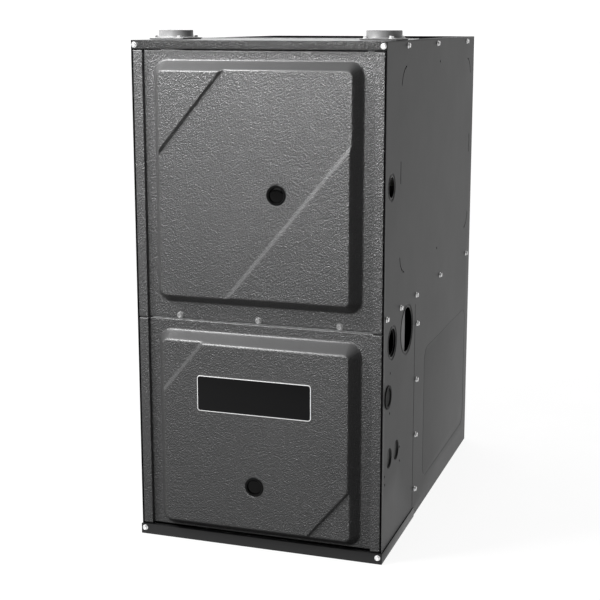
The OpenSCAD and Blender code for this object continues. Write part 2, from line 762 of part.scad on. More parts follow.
module collar(s) {
    translate([s * collar_x, collar_y, 0]) difference() {
        union() {
            translate([-plate_w / 2, -plate_d / 2, plate_z]) cube([plate_w, plate_d, plate_t]);
            rod_z([0, 0, plate_z], collar_d, case_h + collar_h - plate_z);
            rod_z([0, 0, case_h - spigot_l], spigot_d, spigot_l + gasket_t + skin);
        }
        rod_z([0, 0, case_h - spigot_l - poke], pipe_d + 2 * seat_gap, spigot_l + collar_h + 3 * poke);
        for (x = [-1, 1]) for (y = [-1, 1])
            rod_z([x * plate_screw_x, y * plate_screw_y, plate_z - poke],
                shank_d + 2 * seat_gap, plate_t + 2 * poke);
    }
}
module intake_collar() {
    color(light_grey) in_case() collar(-1);
}
module flue_collar() {
    color(light_grey) in_case() collar(1);
}

module collar_gaskets() {
    inset = 1.5;
    color(black) in_case() for (s = [-1, 1]) translate([s * collar_x, collar_y, case_h]) difference() {
        translate([inset - plate_w / 2, inset - plate_d / 2, 0])
            cube([plate_w - 2 * inset, plate_d - 2 * inset, gasket_t]);
        translate([0, 0, -poke]) cylinder(d = spigot_d + 2 * seat_gap, h = gasket_t + 2 * poke);
        for (x = [-1, 1]) for (y = [-1, 1])
            rod_z([x * plate_screw_x, y * plate_screw_y, -poke], shank_d + 2 * seat_gap, gasket_t + 2 * poke);
    }
}

// Rubber plugs in the drain holes of both side sheets
module drain_plugs() {
    lip_t = 1.6;
    color(black) in_case() for (s = [0, 1]) mirror([s, 0, 0]) difference() {
        union() {
            rod_x([inner_x - 4, drain_hole_y, drain_hole_z], drain_hole_d - 0.2, 4 + sheet_t);
            rod_x([half_w - skin, drain_hole_y, drain_hole_z], drain_hole_d + 4, lip_t);
        }
        rod_x([inner_x + sheet_t, drain_hole_y, drain_hole_z], drain_hole_d - 6, 4);
    }
}

// ---------------------------------------------------------------- blower

// Radius of the spiral wall at a clockwise angle from the rear, growing from the cut-off to the front
function scroll_r(a) = scroll_r0 + (scroll_r1 - scroll_r0) * (a - cutoff_angle) / (180 - cutoff_angle);
function scroll_mouth() = scroll_r0 * cos(cutoff_angle);

// Outline of the scroll in the YZ plane, drawn in by t
module scroll_outline(t, top) {
    steps = 30;
    spiral = [for (i = [0 : steps]) let (a = cutoff_angle + (180 - cutoff_angle) * i / steps)
        [(scroll_r(a) - t) * cos(a), -(scroll_r(a) - t) * sin(a)]];
    polygon(concat([[scroll_mouth() - t, top]], spiral, [[t - scroll_r1, top]]));
}
module scroll_solid(t, x0, x1, top) {
    translate([x0, blower_y, blower_z]) rotate([90, 0, 90])
        linear_extrude(height = x1 - x0) scroll_outline(t, top - blower_z);
}

// Scroll-shaped blower housing with an inlet in each side and flanges that hang on the rails
module blower_housing() {
    lip = scroll_r1 - 2;
    color(bare_steel) in_case() difference() {
        union() {
            scroll_solid(0, -scroll_half, scroll_half, scroll_top);
            for (s = [-1, 1]) translate([s * (scroll_half + flange_out / 2 - skin), 0, 0])
                box([-flange_out / 2, blower_y - lip, scroll_top - 2],
                    [flange_out / 2, blower_y + scroll_mouth(), scroll_top - 2 + sheet_t]);
        }
        scroll_solid(sheet_t, sheet_t - scroll_half, scroll_half - sheet_t, scroll_top + poke);
        rod_x([-scroll_half - poke, blower_y, blower_z], wheel_d - 22, 2 * scroll_half + 2 * poke);
    }
}

// Blower wheel: two end rings, and a middle disc with its hub
module blower_wheel() {
    color(bare_steel) in_case() translate([0, blower_y, blower_z]) rotate([90, 0, 90]) difference() {
        union() {
            for (z = [-wheel_w / 2, wheel_w / 2 - ring_t]) translate([0, 0, z]) difference() {
                cylinder(d = wheel_d, h = ring_t);
                translate([0, 0, -poke]) cylinder(r = blade_in - 2, h = ring_t + 2 * poke);
            }
            cylinder(r = blade_in - 0.6, h = ring_t);
            cylinder(r = hub_r, h = 30);
        }
        translate([0, 0, -poke]) cylinder(d = shaft_d + 2 * run_gap, h = 32 + poke);
    }
}

// Forward-leaning blades of the wheel, from ring to ring
module blower_blades() {
    blade_t = 1.2;
    blade_z = ring_t + seat_gap - wheel_w / 2;
    color(bare_steel) in_case() translate([0, blower_y, blower_z]) rotate([90, 0, 90])
        for (i = [0 : blade_count - 1]) rotate([0, 0, i * 360 / blade_count])
            translate([blade_in, 0, blade_z]) rotate([0, 0, 24])
                translate([0, -blade_t / 2, 0]) cube([18, blade_t, -2 * blade_z]);
}

module blower_shaft() {
    color(light_grey) in_case() rod_x([motor_x1 - 12, blower_y, blower_z], shaft_d, 60 - motor_x1 - 12);
}

// Motor inside the wheel: ribbed shell, two end bells and the shaft's bore
module blower_motor() {
    bell = 16;
    color(black) in_case() translate([motor_x0, blower_y, blower_z]) rotate([0, 90, 0]) difference() {
        union() {
            cylinder(d = motor_d - 16, h = motor_x1 - motor_x0);
            translate([0, 0, bell]) cylinder(d = motor_d, h = motor_x1 - motor_x0 - 2 * bell);
        }
        translate([0, 0, motor_x1 - motor_x0 - 14]) cylinder(d = shaft_d + 2 * run_gap, h = 20);
        for (i = [0 : 11]) rotate([0, 0, i * 30]) translate([motor_d / 2 - 20, -3, -poke]) cube([6, 6, 6]);
    }
}

// Belly band round the motor with three arms to the side of the housing
module motor_bracket() {
    band_x0 = -scroll_half - 18;
    band_w = 12;
    foot_r = wheel_d / 2 + 18;
    arm_t = 3;
    color(bare_steel) in_case() translate([0, blower_y, blower_z]) difference() {
        union() {
            rod_x([band_x0, 0, 0], motor_d + 6, band_w);
            for (a = [30, 150, 270]) rotate([a, 0, 0]) {
                box([band_x0, -11, motor_d / 2 - 2], [band_x0 + arm_t, 11, foot_r]);
                box([band_x0, -11, foot_r - 16], [-scroll_half, 11, foot_r]);
            }
        }
        rod_x([band_x0 - poke, 0, 0], motor_d + seat_gap, band_w + 2 * poke);
        for (a = [30, 150, 270]) rotate([a, 0, 0])
            box([band_x0 + arm_t, -12, foot_r - 16 - poke], [-scroll_half - arm_t, 12, foot_r - arm_t]);
    }
}

// Two channels under the deck that the flanges of the blower housing slide in
module blower_rails() {
    y0 = blower_y - scroll_r1 - 10;
    y1 = blower_y + scroll_mouth() + 40;
    x0 = scroll_half + 2;
    x1 = scroll_half + flange_out + seat_gap;
    z0 = scroll_top - 2 - seat_gap - sheet_t;
    color(bare_steel) in_case() for (s = [0, 1]) mirror([s, 0, 0]) {
        box([x0, y0, z0], [x1 + sheet_t, y1, z0 + sheet_t]);
        box([x1, y0, z0], [x1 + sheet_t, y1, deck_z]);
        box([x1, y0, deck_z - sheet_t], [x1 + 12, y1, deck_z]);
    }
}

// ---------------------------------------------------------------- controls

// Sideways place on the control board, counted from its left edge
function board_x(x) = 40 - bracket_half + x * board_share;

// Plate across the blower space that holds the controls, standing on the base
module control_bracket() {
    color(bare_steel) in_case() difference() {
        union() {
            box([-bracket_half, bracket_y, sheet_t], [bracket_half, bracket_y + sheet_t, bracket_top]);
            box([-bracket_half, bracket_y, sheet_t], [bracket_half, bracket_y + 25, 2 * sheet_t]);
            box([-bracket_half, bracket_y, bracket_top - sheet_t],
                [bracket_half, bracket_y + 12, bracket_top]);
            for (x = [7, 187]) for (z = [lower_window_z - 60, lower_window_z + 70])
                rod_y([board_x(x), board_y + board_t, z], 7, bracket_y - board_y - board_t + skin);
        }
        for (s = [-1, 1])
            rod_y([s * (bracket_half - 25), bracket_y - poke, bracket_top - 20], 18, sheet_t + 2 * poke);
    }
}

module control_board() {
    color([0.10, 0.32, 0.20]) in_case() difference() {
        box([board_x(0), board_y, lower_window_z - 68],
            [board_x(195), board_y + board_t, lower_window_z + 78]);
        for (x = [13, 182]) for (z = [lower_window_z - 48, lower_window_z + 58])
            rod_y([board_x(x), board_y - poke, z], 3, board_t + 2 * poke);
    }
}

// Relays, a large capacitor and the indicator light on the board
module board_relays() {
    color(black) in_case() {
        for (i = [0 : 3]) box([board_x(25 + i * 26), board_y - 17, lower_window_z + 34],
            [board_x(45 + i * 26), board_y, lower_window_z + 62]);
        rod_y([board_x(165), board_y - 22, lower_window_z + 44], 22, 22);
        box([board_x(65), board_y - 6, lower_window_z - 20],
            [board_x(95), board_y, lower_window_z + 10]);
        rod_y([board_x(125), board_y - 8, lower_window_z], 6, 8);
    }
}

// Screw terminals and plug sockets on the board
module board_terminals() {
    color(light_grey) in_case() {
        difference() {
            box([board_x(15), board_y - 12, lower_window_z - 62],
                [board_x(95), board_y, lower_window_z - 46]);
            for (i = [0 : 7]) rod_y([board_x(20 + i * 10), board_y - 13, lower_window_z - 54], 5, 4);
        }
        box([board_x(125), board_y - 14, lower_window_z - 62],
            [board_x(185), board_y, lower_window_z - 46]);
        box([board_x(7), board_y - 12, lower_window_z - 30],
            [board_x(21), board_y, lower_window_z + 22]);
    }
}

// Transformer: laminated core, winding and foot plate
module transformer() {
    x0 = bracket_half - 81;
    z0 = 52;
    color([0.25, 0.25, 0.27]) in_case() {
        box([x0, bracket_y - 3, z0 - 8], [x0 + 66, bracket_y, z0 + 66]);
        box([x0 + 6, bracket_y - 35, z0], [x0 + 60, bracket_y - 3, z0 + 58]);
        box([x0 + 14, bracket_y - 46, z0 + 12], [x0 + 52, bracket_y - 35, z0 + 46]);
    }
}

// Door switch behind its bracket; the plunger stands just behind the lower door's border
module switch_bracket() {
    y0 = stop_y + sheet_t + seat_gap;
    color(bare_steel) in_case() difference() {
        box([-switch_x - 9, y0, switch_z - 22], [14 - switch_x, y0 + sheet_t, deck_z - 1]);
        rod_y([-switch_x, y0 - poke, switch_z], 10, sheet_t + 2 * poke);
        box([-switch_x - 9 - poke, y0 - poke, deck_z - 20], [14 - switch_x + poke, y0 - skin, deck_z]);
    }
}
module door_switch() {
    y0 = stop_y + 2 * sheet_t + seat_gap;
    color(black) in_case() difference() {
        union() {
            box([-switch_x - 8, y0, switch_z - 14], [8 - switch_x, y0 + 30, switch_z + 14]);
            for (z = [-8, 8]) box([-switch_x - 3, y0 + 30, switch_z + z - 0.5],
                [3 - switch_x, y0 + 36, switch_z + z + 0.5]);
        }
        rod_y([-switch_x, y0 - poke, switch_z], 6 + 2 * run_gap, 20 + poke);
    }
}
module switch_plunger() {
    y0 = border_y + door_t + plunger_gap;
    color(light_grey) in_case() rod_y([-switch_x, y0, switch_z], 6, 17);
}

// Sheet box for the supply wires, open towards the cable hole in the side
module junction_box() {
    x0 = half_w - 54.25;
    x1 = inner_x - dimple_d - seat_gap;
    y0 = 24;
    y1 = 155;
    z0 = side_holes_z - 40;
    z1 = deck_z - 18 - seat_gap;
    color(bare_steel) in_case() difference() {
        box([x0, y0, z0], [x1, y1, z1]);
        box([x0 + sheet_t, y0 + sheet_t, z0 + sheet_t], [x1 - sheet_t, y1 - sheet_t, z1 - sheet_t]);
        rod_x([x1 - 2 * sheet_t, cable_hole_y, side_holes_z], cable_hole_d - 4, 4 * sheet_t);
        rod_x([x0 - sheet_t, y1 - 25, z0 + 20], 22, 3 * sheet_t);
    }
}

// Condensate trap on the left side, with two inlets on top and an outlet at its foot
module condensate_trap() {
    x0 = -trap_x + 1;
    z0 = trap_top - 124;
    color(light_grey) in_case() {
        box([x0, trap_y - 33, z0], [x0 + 46, trap_y + 33, trap_top]);
        box([x0 + 10, trap_y - 25, z0 - 14], [x0 + 36, trap_y + 25, z0 + skin]);
        rod_z([x0 + 23, trap_y, trap_top - skin], 20, 14);
        rod_z([x0 + 23, trap_y - 19, z0 - 28], 14, 16);
        box([-inner_x, trap_y - 15, trap_top - 72], [x0 + skin, trap_y + 15, trap_top - 16]);
    }
}
module drain_hose() {
    x0 = -trap_x + 24;
    y1 = collector_y + 27;
    z1 = coil_z0 + 24;
    color(black) in_case() bent_run([[x0, trap_y, trap_top + 14], [x0, trap_y, z1], [x0, y1, z1],
        [-collector_half, y1, z1]], 14, 14);
}

// ---------------------------------------------------------------- burners and gas

// Open sheet box round the burners, with a hole for the intake pipe in its left wall
module burner_box() {
    color(bare_steel) in_case() difference() {
        box([-box_half, box_y, box_z0], [box_half, front_d - seat_gap, box_z1]);
        box([sheet_t - box_half, box_y - poke, box_z0 + sheet_t],
            [box_half - sheet_t, front_d + poke, box_z1 - sheet_t]);
        rod_x([-box_half - poke, collar_y, burner_z], pipe_d - 2 * pipe_wall, 4 * sheet_t);
        rod_z([burner_x[3], front_d - 12, box_z0 - poke], 9, 4 * sheet_t);
        rod_z([burner_x[0], front_d - 12, box_z0 - poke], 7, 4 * sheet_t);
    }
}
module burner_cover() {
    color(bare_steel) in_case() difference() {
        box([-box_half - 4, cover_y, box_z0 - 4], [box_half + 4, box_y, box_z1 + 4]);
        for (x = burner_x) rod_y([x, cover_y - poke, burner_z], 17, 4);
    }
}

// Four burner tubes, each with a bell mouth and a flared head, on one cross plate
module burners() {
    y0 = box_y + 14;
    y1 = front_d - 14;
    color([0.62, 0.60, 0.56]) in_case() {
        for (x = burner_x) translate([x, 0, burner_z]) difference() {
            union() {
                rod_y([0, y0 + 14, 0], 22, y1 - y0 - 28);
                translate([0, y0, 0]) rotate([-90, 0, 0]) cylinder(d1 = 32, d2 = 22, h = 14 + skin);
                translate([0, y1 - 14 - skin, 0]) rotate([-90, 0, 0])
                    cylinder(d1 = 22, d2 = 38, h = 14 + skin);
            }
            rod_y([0, y0 - poke, 0], 17, y1 - y0 + 2 * poke);
        }
        difference() {
            box([sheet_t + seat_gap - box_half, (y0 + y1) / 2, burner_z - 20],
                [box_half - sheet_t - seat_gap, (y0 + y1) / 2 + sheet_t, burner_z + 20]);
            for (x = burner_x) rod_y([x, box_y, burner_z], 20, front_d - box_y);
        }
    }
}

// Manifold pipe with its drop to the valve, a boss in front of each burner and a foot at each end
module gas_manifold() {
    x1 = burner_x[3] + 24;
    color([0.15, 0.15, 0.16]) in_case() {
        rod_x([-x1, manifold_y, burner_z], manifold_d, 2 * x1);
        for (x = burner_x) rod_y([x, manifold_y, burner_z], 18, manifold_d / 2 + 2);
        rod_z([0, manifold_y, valve_z1], 21.3, burner_z - valve_z1);
        rod_z([0, manifold_y, burner_z - 30], 32, 22);
        for (s = [-1, 1]) {
            rod_x([s * (x1 - 4) - 8, manifold_y, burner_z], manifold_d + 6, 16);
            box([s * x1 - 3, manifold_y, burner_z - 10], [s * x1 + 3, cover_y - seat_gap, burner_z + 10]);
            box([s * x1 - 12, cover_y - seat_gap - 3, burner_z - 16],
                [s * x1 + 12, cover_y - seat_gap, burner_z + 16]);
        }
    }
}
module burner_orifices() {
    y0 = manifold_y + manifold_d / 2 + 2;
    color([0.78, 0.62, 0.28]) in_case() for (x = burner_x) {
        translate([x, y0, burner_z]) rotate([-90, 0, 0]) cylinder(d = 14, h = 8, $fn = 6);
        rod_y([x, y0 + 8 - skin, burner_z], 8, 14);
    }
}

// Gas valve: body, cap, outlet boss on top and a threaded inlet towards the gas pipe hole
module gas_valve() {
    color([0.60, 0.61, 0.62]) in_case() difference() {
        union() {
            box([-52, valve_y0, valve_z0], [52, 78, valve_z1 - 8]);
            box([-30, valve_y0 + 8, valve_z1 - 8 - skin], [30, 74, valve_z1]);
            rod_x([50, gas_hole_y, gas_hole_z], 34, 20);
            rod_x([-68, gas_hole_y, gas_hole_z], 30, 20);
            rod_y([30, valve_y0 - 4, gas_hole_z + 8], 16, 6);
            rod_y([0, valve_y0 - 3, gas_hole_z], 30, 4);
        }
        rod_x([54, gas_hole_y, gas_hole_z], 21, 20);
        rod_y([0, valve_y0 - 4, gas_hole_z], 8 + 2 * run_gap, 14);
    }
}

// Quarter-turn knob on the valve: grip bar on a disc, with its stem in the valve
module gas_knob() {
    y1 = valve_y0 - 3 - seat_gap;
    color([0.15, 0.25, 0.55]) in_case() {
        rod_y([0, y1 - 2, gas_hole_z], 24, 2);
        box([-11, knob_y, gas_hole_z - 3], [11, y1 - 2 + skin, gas_hole_z + 3]);
        rod_y([0, y1 - skin, gas_hole_z], 8, 11);
    }
}

// Rollout switches at the top corners of the burner cover, and their buttons
module rollout_switches() {
    color(black) in_case() for (s = [-1, 1]) difference() {
        union() {
            rod_y([s * rollout_x, cover_y - 8, rollout_z], 20, 8);
            box([s * rollout_x - 16, cover_y - 1.5, rollout_z - 4],
                [s * rollout_x + 16, cover_y, rollout_z + 4]);
        }
        rod_y([s * rollout_x, cover_y - 9, rollout_z], 5 + 2 * run_gap, 7);
    }
}
module reset_button(s) {
    rod_y([s * rollout_x, cover_y - 10.5, rollout_z], 5, 7);
}
module reset_button_left() {
    color([0.7, 0.12, 0.1]) in_case() reset_button(-1);
}
module reset_button_right() {
    color([0.7, 0.12, 0.1]) in_case() reset_button(1);
}

// Igniter under the last burner and flame sensor rod under the first, held in the floor of the box
module igniter() {
    z0 = box_z0;
    color([0.92, 0.90, 0.84]) in_case() {
        rod_z([burner_x[3], front_d - 12, z0 - 22], 8.6, 46);
        rod_z([burner_x[3], front_d - 12, z0 - 4], 16, 4);
        rod_z([burner_x[0], front_d - 12, z0 - 14], 6.6, 34);
        rod_z([burner_x[0], front_d - 12, z0 - 4], 14, 4);
    }
}

// ---------------------------------------------------------------- heat exchanger

// One tube of diameter d: out to the back, down and forward, down and back again into the header
module exchanger_tube(x, d, reach) {
    y0 = front_d - seat_gap - reach;
    rod_y([x, y0, burner_z], d, rear_bend_y - y0);
    rod_y([x, front_bend_y, burner_z - pass_pitch], d, rear_bend_y - front_bend_y);
    rod_y([x, front_bend_y, low_pass_z], d, header_y0 - front_bend_y + reach);
    translate([x, rear_bend_y, burner_z - bend_r]) rotate([90, 0, 90]) rotate([0, 0, -90])
        rotate_extrude(angle = 180) translate([bend_r, 0]) circle(d = d);
    translate([x, front_bend_y, low_pass_z + bend_r]) rotate([90, 0, 90]) rotate([0, 0, 90])
        rotate_extrude(angle = 180) translate([bend_r, 0]) circle(d = d);
}
module heat_exchanger() {
    color([0.55, 0.54, 0.52]) in_case() for (x = burner_x) difference() {
        exchanger_tube(x, tube_d, 0);
        exchanger_tube(x, tube_d - 2 * tube_wall, poke);
    }
}

// Box at the back that leads the gas from the tubes down to the coil
module rear_header() {
    color([0.55, 0.54, 0.52]) in_case() difference() {
        box([-coil_half, header_y0, coil_z0], [coil_half, header_y1, low_pass_z + tube_d / 2 + 10]);
        box([2 - coil_half, header_y0 + 2, coil_z0 + 2],
            [coil_half - 2, header_y1 - 2, low_pass_z + tube_d / 2 + 8]);
        for (x = burner_x) rod_y([x, header_y0 - poke, low_pass_z], tube_d - 2 * tube_wall, 4);
    }
}

// Finned coil between two end plates that stand on the deck, with a tube sheet at the front
module condensing_coil() {
    fins = 26;
    y0 = inner_back + 42;
    color([0.75, 0.76, 0.77]) in_case() {
        for (i = [0 : fins - 1]) translate([-coil_half + (2 * coil_half - sheet_t) * i / (fins - 1), 0, 0])
            box([0, y0 + 8, coil_z0 + 2], [sheet_t, header_y0 - 8, coil_z1 - 2]);
        for (x = [-coil_half - sheet_t, coil_half])
            box([x, y0, deck_top], [x + sheet_t, header_y0, coil_z1]);
        for (z = [coil_z0 + 18, (coil_z0 + coil_z1) / 2, coil_z1 - 18])
            for (y = [y0 + 40 : 48 : header_y0 - 30])
                rod_x([-coil_half - skin, y, z], 14, 2 * coil_half + 2 * skin);
        box([-coil_half, y0, coil_z0], [coil_half, y0 + 8 + skin, coil_z1]);
        box([-collector_half + 5, front_d - 1.5, coil_z0 + 10],
            [collector_half - 5, y0 + skin, coil_z1 - 10]);
        box([-coil_half, header_y0 - 8 - skin, coil_z0], [coil_half, header_y0, coil_z1]);
    }
}

// Moulded box in front of the coil that gathers the gas for the inducer
module collector_box() {
    y1 = front_d - 1.5;
    color(black) in_case() difference() {
        union() {
            box([-collector_half, collector_y + 12, coil_z0 + 2], [collector_half, y1, coil_z1]);
            box([collector_half - 130, collector_y, coil_z0 + 8], [collector_half, y1, coil_z1 - 6]);
            for (i = [0 : 5]) translate([30 - collector_half + 24 * i, 0, 0])
                box([0, collector_y + 6, coil_z0 + 6], [3, y1, coil_z1 - 4]);
            rod_z([pressure_x, front_d - 16, coil_z1 - skin], 8, 10);
        }
        box([4 - collector_half, collector_y + 16, coil_z0 + 6],
            [collector_half - 4, y1 + poke, coil_z1 - 4]);
    }
}

// ---------------------------------------------------------------- draught inducer and vent

// Round scroll with an outlet that leaves upwards along its right side
module inducer_housing() {
    h = inducer_y1 - inducer_y0;
    wall = 3;
    color([0.16, 0.16, 0.17]) in_case() difference() {
        union() {
            rod_y([inducer_x, inducer_y0, inducer_z], 2 * inducer_r, h);
            rod_z([collar_x, collar_y, inducer_z], pipe_d, outlet_top - inducer_z);
            box([collar_x - pipe_d / 2, inducer_y0 + 3, inducer_z],
                [collar_x + pipe_d / 2, inducer_y1 - 3, inducer_z + 70]);
            for (a = [45 : 90 : 315]) rotate_about(inducer_x, inducer_z, a)
                rod_y([inducer_r - 1, inducer_y1 - 8, 0], 14, 8);
        }
        rod_y([inducer_x, inducer_y0 + wall, inducer_z], 2 * inducer_r - 2 * wall, h - 2 * wall);
        rod_z([collar_x, collar_y, inducer_z + 20], pipe_d - 2 * pipe_wall, outlet_top);
        rod_y([inducer_x, inducer_y0 - poke, inducer_z], 30, wall + 2 * poke);
    }
}
module rotate_about(x, z, a) {
    translate([x, 0, z]) rotate([0, a, 0]) children();
}

module inducer_wheel() {
    y0 = inducer_y0 + 12;
    color(light_grey) in_case() translate([inducer_x, 0, inducer_z]) {
        rod_y([0, y0, 0], 130, 2);
        for (a = [0 : 30 : 330]) rotate([0, a, 0]) box([26, y0 + 2 - skin, -0.8], [64, y0 + 22, 0.8]);
        rod_y([0, y0, 0], 24, 14);
        rod_y([0, inducer_y0 - 20, 0], inducer_shaft_d, y0 - inducer_y0 + 20 + skin);
    }
}

// Motor in front of the inducer: can, stator stack and cooling disc
module inducer_motor() {
    y1 = inducer_y0;
    color([0.35, 0.35, 0.37]) in_case() translate([inducer_x, 0, inducer_z]) difference() {
        union() {
            rod_y([0, y1 - 6, 0], 96, 6);
            rod_y([0, y1 - 24, 0], 62, 19);
            box([-38, y1 - 50, -34], [38, y1 - 24 + skin, 34]);
            rod_y([0, y1 - 58, 0], 44, 9);
        }
        rod_y([0, y1 - 26, 0], inducer_shaft_d + 2 * run_gap, 30);
    }
}

// Vent pipe from the inducer to the flue collar, with its rubber coupling
module vent_pipe() {
    z0 = outlet_top + seat_gap;
    color(light_grey) in_case() translate([collar_x, collar_y, 0]) difference() {
        union() {
            rod_z([0, 0, z0], pipe_d, case_h - 4 - z0);
            rod_z([0, 0, outlet_top - 24], pipe_d + 7, 60);
            for (z = [outlet_top - 18, outlet_top + 18]) rod_z([0, 0, z], pipe_d + 9, 9);
        }
        rod_z([0, 0, outlet_top - 24 - poke], pipe_d + 2 * seat_gap, 24 + poke + seat_gap / 2);
        rod_z([0, 0, outlet_top - poke], pipe_d - 2 * pipe_wall, case_h - outlet_top);
    }
}

// Intake pipe from its collar down and round into the burner box
module intake_pipe() {
    pts = [[-collar_x, collar_y, case_h - 4], [-collar_x, collar_y, burner_z],
        [-box_half, collar_y, burner_z]];
    color(light_grey) in_case() difference() {
        bent_run(pts, pipe_d, 30);
        bent_run([pts[0] + [0, 0, poke], pts[1], pts[2] + [poke, 0, 0]], pipe_d - 2 * pipe_wall, 30);
    }
}

// Pressure switch on the inner panel and the hose from the collector box
module pressure_switch() {
    color([0.55, 0.55, 0.57]) in_case() translate([pressure_x, 0, pressure_z]) {
        rod_y([0, front_d - 26, 0], 70, 12);
        rod_y([0, front_d - 30, 0], 40, 5);
        rod_y([0, front_d - 15, 0], 50, 15);
        rod_z([0, front_d - 16, coil_z1 + 10 - pressure_z], 9, pressure_z - coil_z1 - 10 - 20);
        box([-14, front_d - 42, -10], [14, front_d - 29, 10]);
    }
}

left_side_panel();
right_side_panel();
back_panel();
base_pan();
top_plate();
front_rail();
blower_deck();
inner_panel();
casing_screws();
upper_door();
lower_door();
upper_door_screws();
upper_window_ring();
upper_window_lens();
lower_window_ring();
lower_window_lens();
badge_plate();
intake_collar();
flue_collar();
collar_gaskets();
drain_plugs();
blower_housing();
blower_wheel();
blower_blades();
blower_shaft();
blower_motor();
motor_bracket();
blower_rails();
control_bracket();
control_board();
board_relays();
board_terminals();
transformer();
door_switch();
switch_bracket();
switch_plunger();
junction_box();
condensate_trap();
drain_hose();
burner_box();
burner_cover();
burners();
gas_manifold();
burner_orifices();
gas_valve();
gas_knob();
rollout_switches();
reset_button_left();
reset_button_right();
igniter();
heat_exchanger();
rear_header();
condensing_coil();
collector_box();
inducer_housing();
inducer_wheel();
inducer_motor();
vent_pipe();
intake_pipe();
pressure_switch();
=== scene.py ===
# %% [markdown]
# # A forced air gas furnace
#
# The object is a tall steel cabinet that stands on the floor. Two pressed doors close its front,
# a bare metal plate with two pipe collars covers the front of its top, and the rest of the top is
# open, so that warm air can rise into a duct. Behind the doors are the burners, the draught
# inducer, the controls and the blower.
#
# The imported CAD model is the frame: every piece made here sits in its coordinates and rides on one
# of its bodies. The cells below first set up small tools, then the finishes, then the pieces from
# the outside inwards, and last the floor, the light and the camera.

import json
import math
import random

import bmesh
import bpy
from mathutils import Matrix, Vector


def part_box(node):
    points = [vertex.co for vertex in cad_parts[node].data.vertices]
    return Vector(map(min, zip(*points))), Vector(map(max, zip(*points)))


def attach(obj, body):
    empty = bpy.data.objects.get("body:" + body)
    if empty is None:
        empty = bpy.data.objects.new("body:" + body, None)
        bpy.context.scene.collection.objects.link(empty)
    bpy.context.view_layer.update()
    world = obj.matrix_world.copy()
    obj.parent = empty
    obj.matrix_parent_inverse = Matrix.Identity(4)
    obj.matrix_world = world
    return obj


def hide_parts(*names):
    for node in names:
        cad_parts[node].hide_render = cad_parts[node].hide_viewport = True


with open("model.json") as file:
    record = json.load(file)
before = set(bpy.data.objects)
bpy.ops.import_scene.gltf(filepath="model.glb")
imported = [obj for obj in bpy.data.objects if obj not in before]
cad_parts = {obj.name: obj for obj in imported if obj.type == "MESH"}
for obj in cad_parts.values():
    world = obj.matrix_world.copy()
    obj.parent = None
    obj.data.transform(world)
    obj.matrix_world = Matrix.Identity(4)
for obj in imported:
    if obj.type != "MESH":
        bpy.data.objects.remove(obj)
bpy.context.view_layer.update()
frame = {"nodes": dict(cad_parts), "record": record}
record = frame["record"]
nodes = frame["nodes"]
random.seed(7)

# %% [markdown]
# ## Measures
#
# Sizes are written in millimetres, as they are on a sheet metal drawing. Widths count from the
# middle of the cabinet, heights from the floor, and depths from the front edge of the casing
# rearwards. The casing's front edge is found in the frame itself, so a piece can't drift from it.

# %% Measures taken from the frame
MM = 0.001
FRONT_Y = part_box("right_side_panel")[0].y
HALF_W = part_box("right_side_panel")[1].x / MM
CASE_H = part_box("right_side_panel")[1].z / MM
CASE_D = (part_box("right_side_panel")[1].y - FRONT_Y) / MM
SHEET = 1.2
RAIL_Z = CASE_H - 15
DECK_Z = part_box("blower_deck")[1].z / MM


def at(x, y, z):
    """A point in the frame from millimetres, its depth counted from the casing's front edge."""
    return Vector((x * MM, FRONT_Y + y * MM, z * MM))


def span(node):
    """The lowest and highest corner of a CAD node, in millimetres as above."""
    low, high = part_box(node)
    return ([low.x / MM, (low.y - FRONT_Y) / MM, low.z / MM],
            [high.x / MM, (high.y - FRONT_Y) / MM, high.z / MM])


print("casing: %.1f wide, %.1f deep, %.1f high" % (2 * HALF_W, CASE_D, CASE_H))
print("front edge at y = %.5f m" % FRONT_Y)

# %% [markdown]
# ## Tools for shader nodes
#
# A finish is a small graph. `add` makes one shader node and fills its sockets by name, with a
# number, a colour or the output of another node. Effects that several finishes share, such as the
# grain of the paint, are node groups that give out only a height or a mask. The surface shader
# itself always stays in the material, where it can be found at once.

# %% Shader tools


def add(tree, kind, settings=None, **sockets):
    """Makes a shader node; i0, i1 … fill a socket by its number, any other word by its name."""
    node = tree.nodes.new("ShaderNode" + kind)
    node.location = (len(tree.nodes) * 170 % 1700, -(len(tree.nodes) // 10) * 260)
    for key, value in (settings or {}).items():
        setattr(node, key, value)
    for key, value in sockets.items():
        by_number = key[0] == "i" and key[1:].isdigit()
        socket = node.inputs[int(key[1:]) if by_number else key.replace("_", " ")]
        if isinstance(value, bpy.types.NodeSocket):
            tree.links.new(value, socket)
        else:
            socket.default_value = value
    return node


def math_node(tree, operation, a, b, c=0.0):
    """The result of a Math node; only MULTIPLY_ADD looks at c."""
    return add(tree, "Math", {"operation": operation}, i0=a, i1=b, i2=c).outputs[0]


def ramp(tree, fac, *stops):
    """A colour ramp; each stop is (place, grey value or colour)."""
    node = add(tree, "ValToRGB", i0=fac)
    elements = node.color_ramp.elements
    while len(elements) < len(stops):
        elements.new(0.5)
    for element, (place, value) in zip(elements, stops):
        element.position = place
        element.color = (*value, 1) if isinstance(value, tuple) else (value, value, value, 1)
    return node.outputs[0]


def group_tree(name, inputs, outputs):
    """An empty node group with number sockets, its input sockets and its output node's sockets."""
    tree = bpy.data.node_groups.new(name, "ShaderNodeTree")
    for label, value in inputs.items():
        socket = tree.interface.new_socket(label, in_out="INPUT", socket_type="NodeSocketFloat")
        socket.default_value = value
    for label in outputs:
        tree.interface.new_socket(label, in_out="OUTPUT", socket_type="NodeSocketFloat")
    return tree, tree.nodes.new("NodeGroupInput").outputs, tree.nodes.new("NodeGroupOutput").inputs


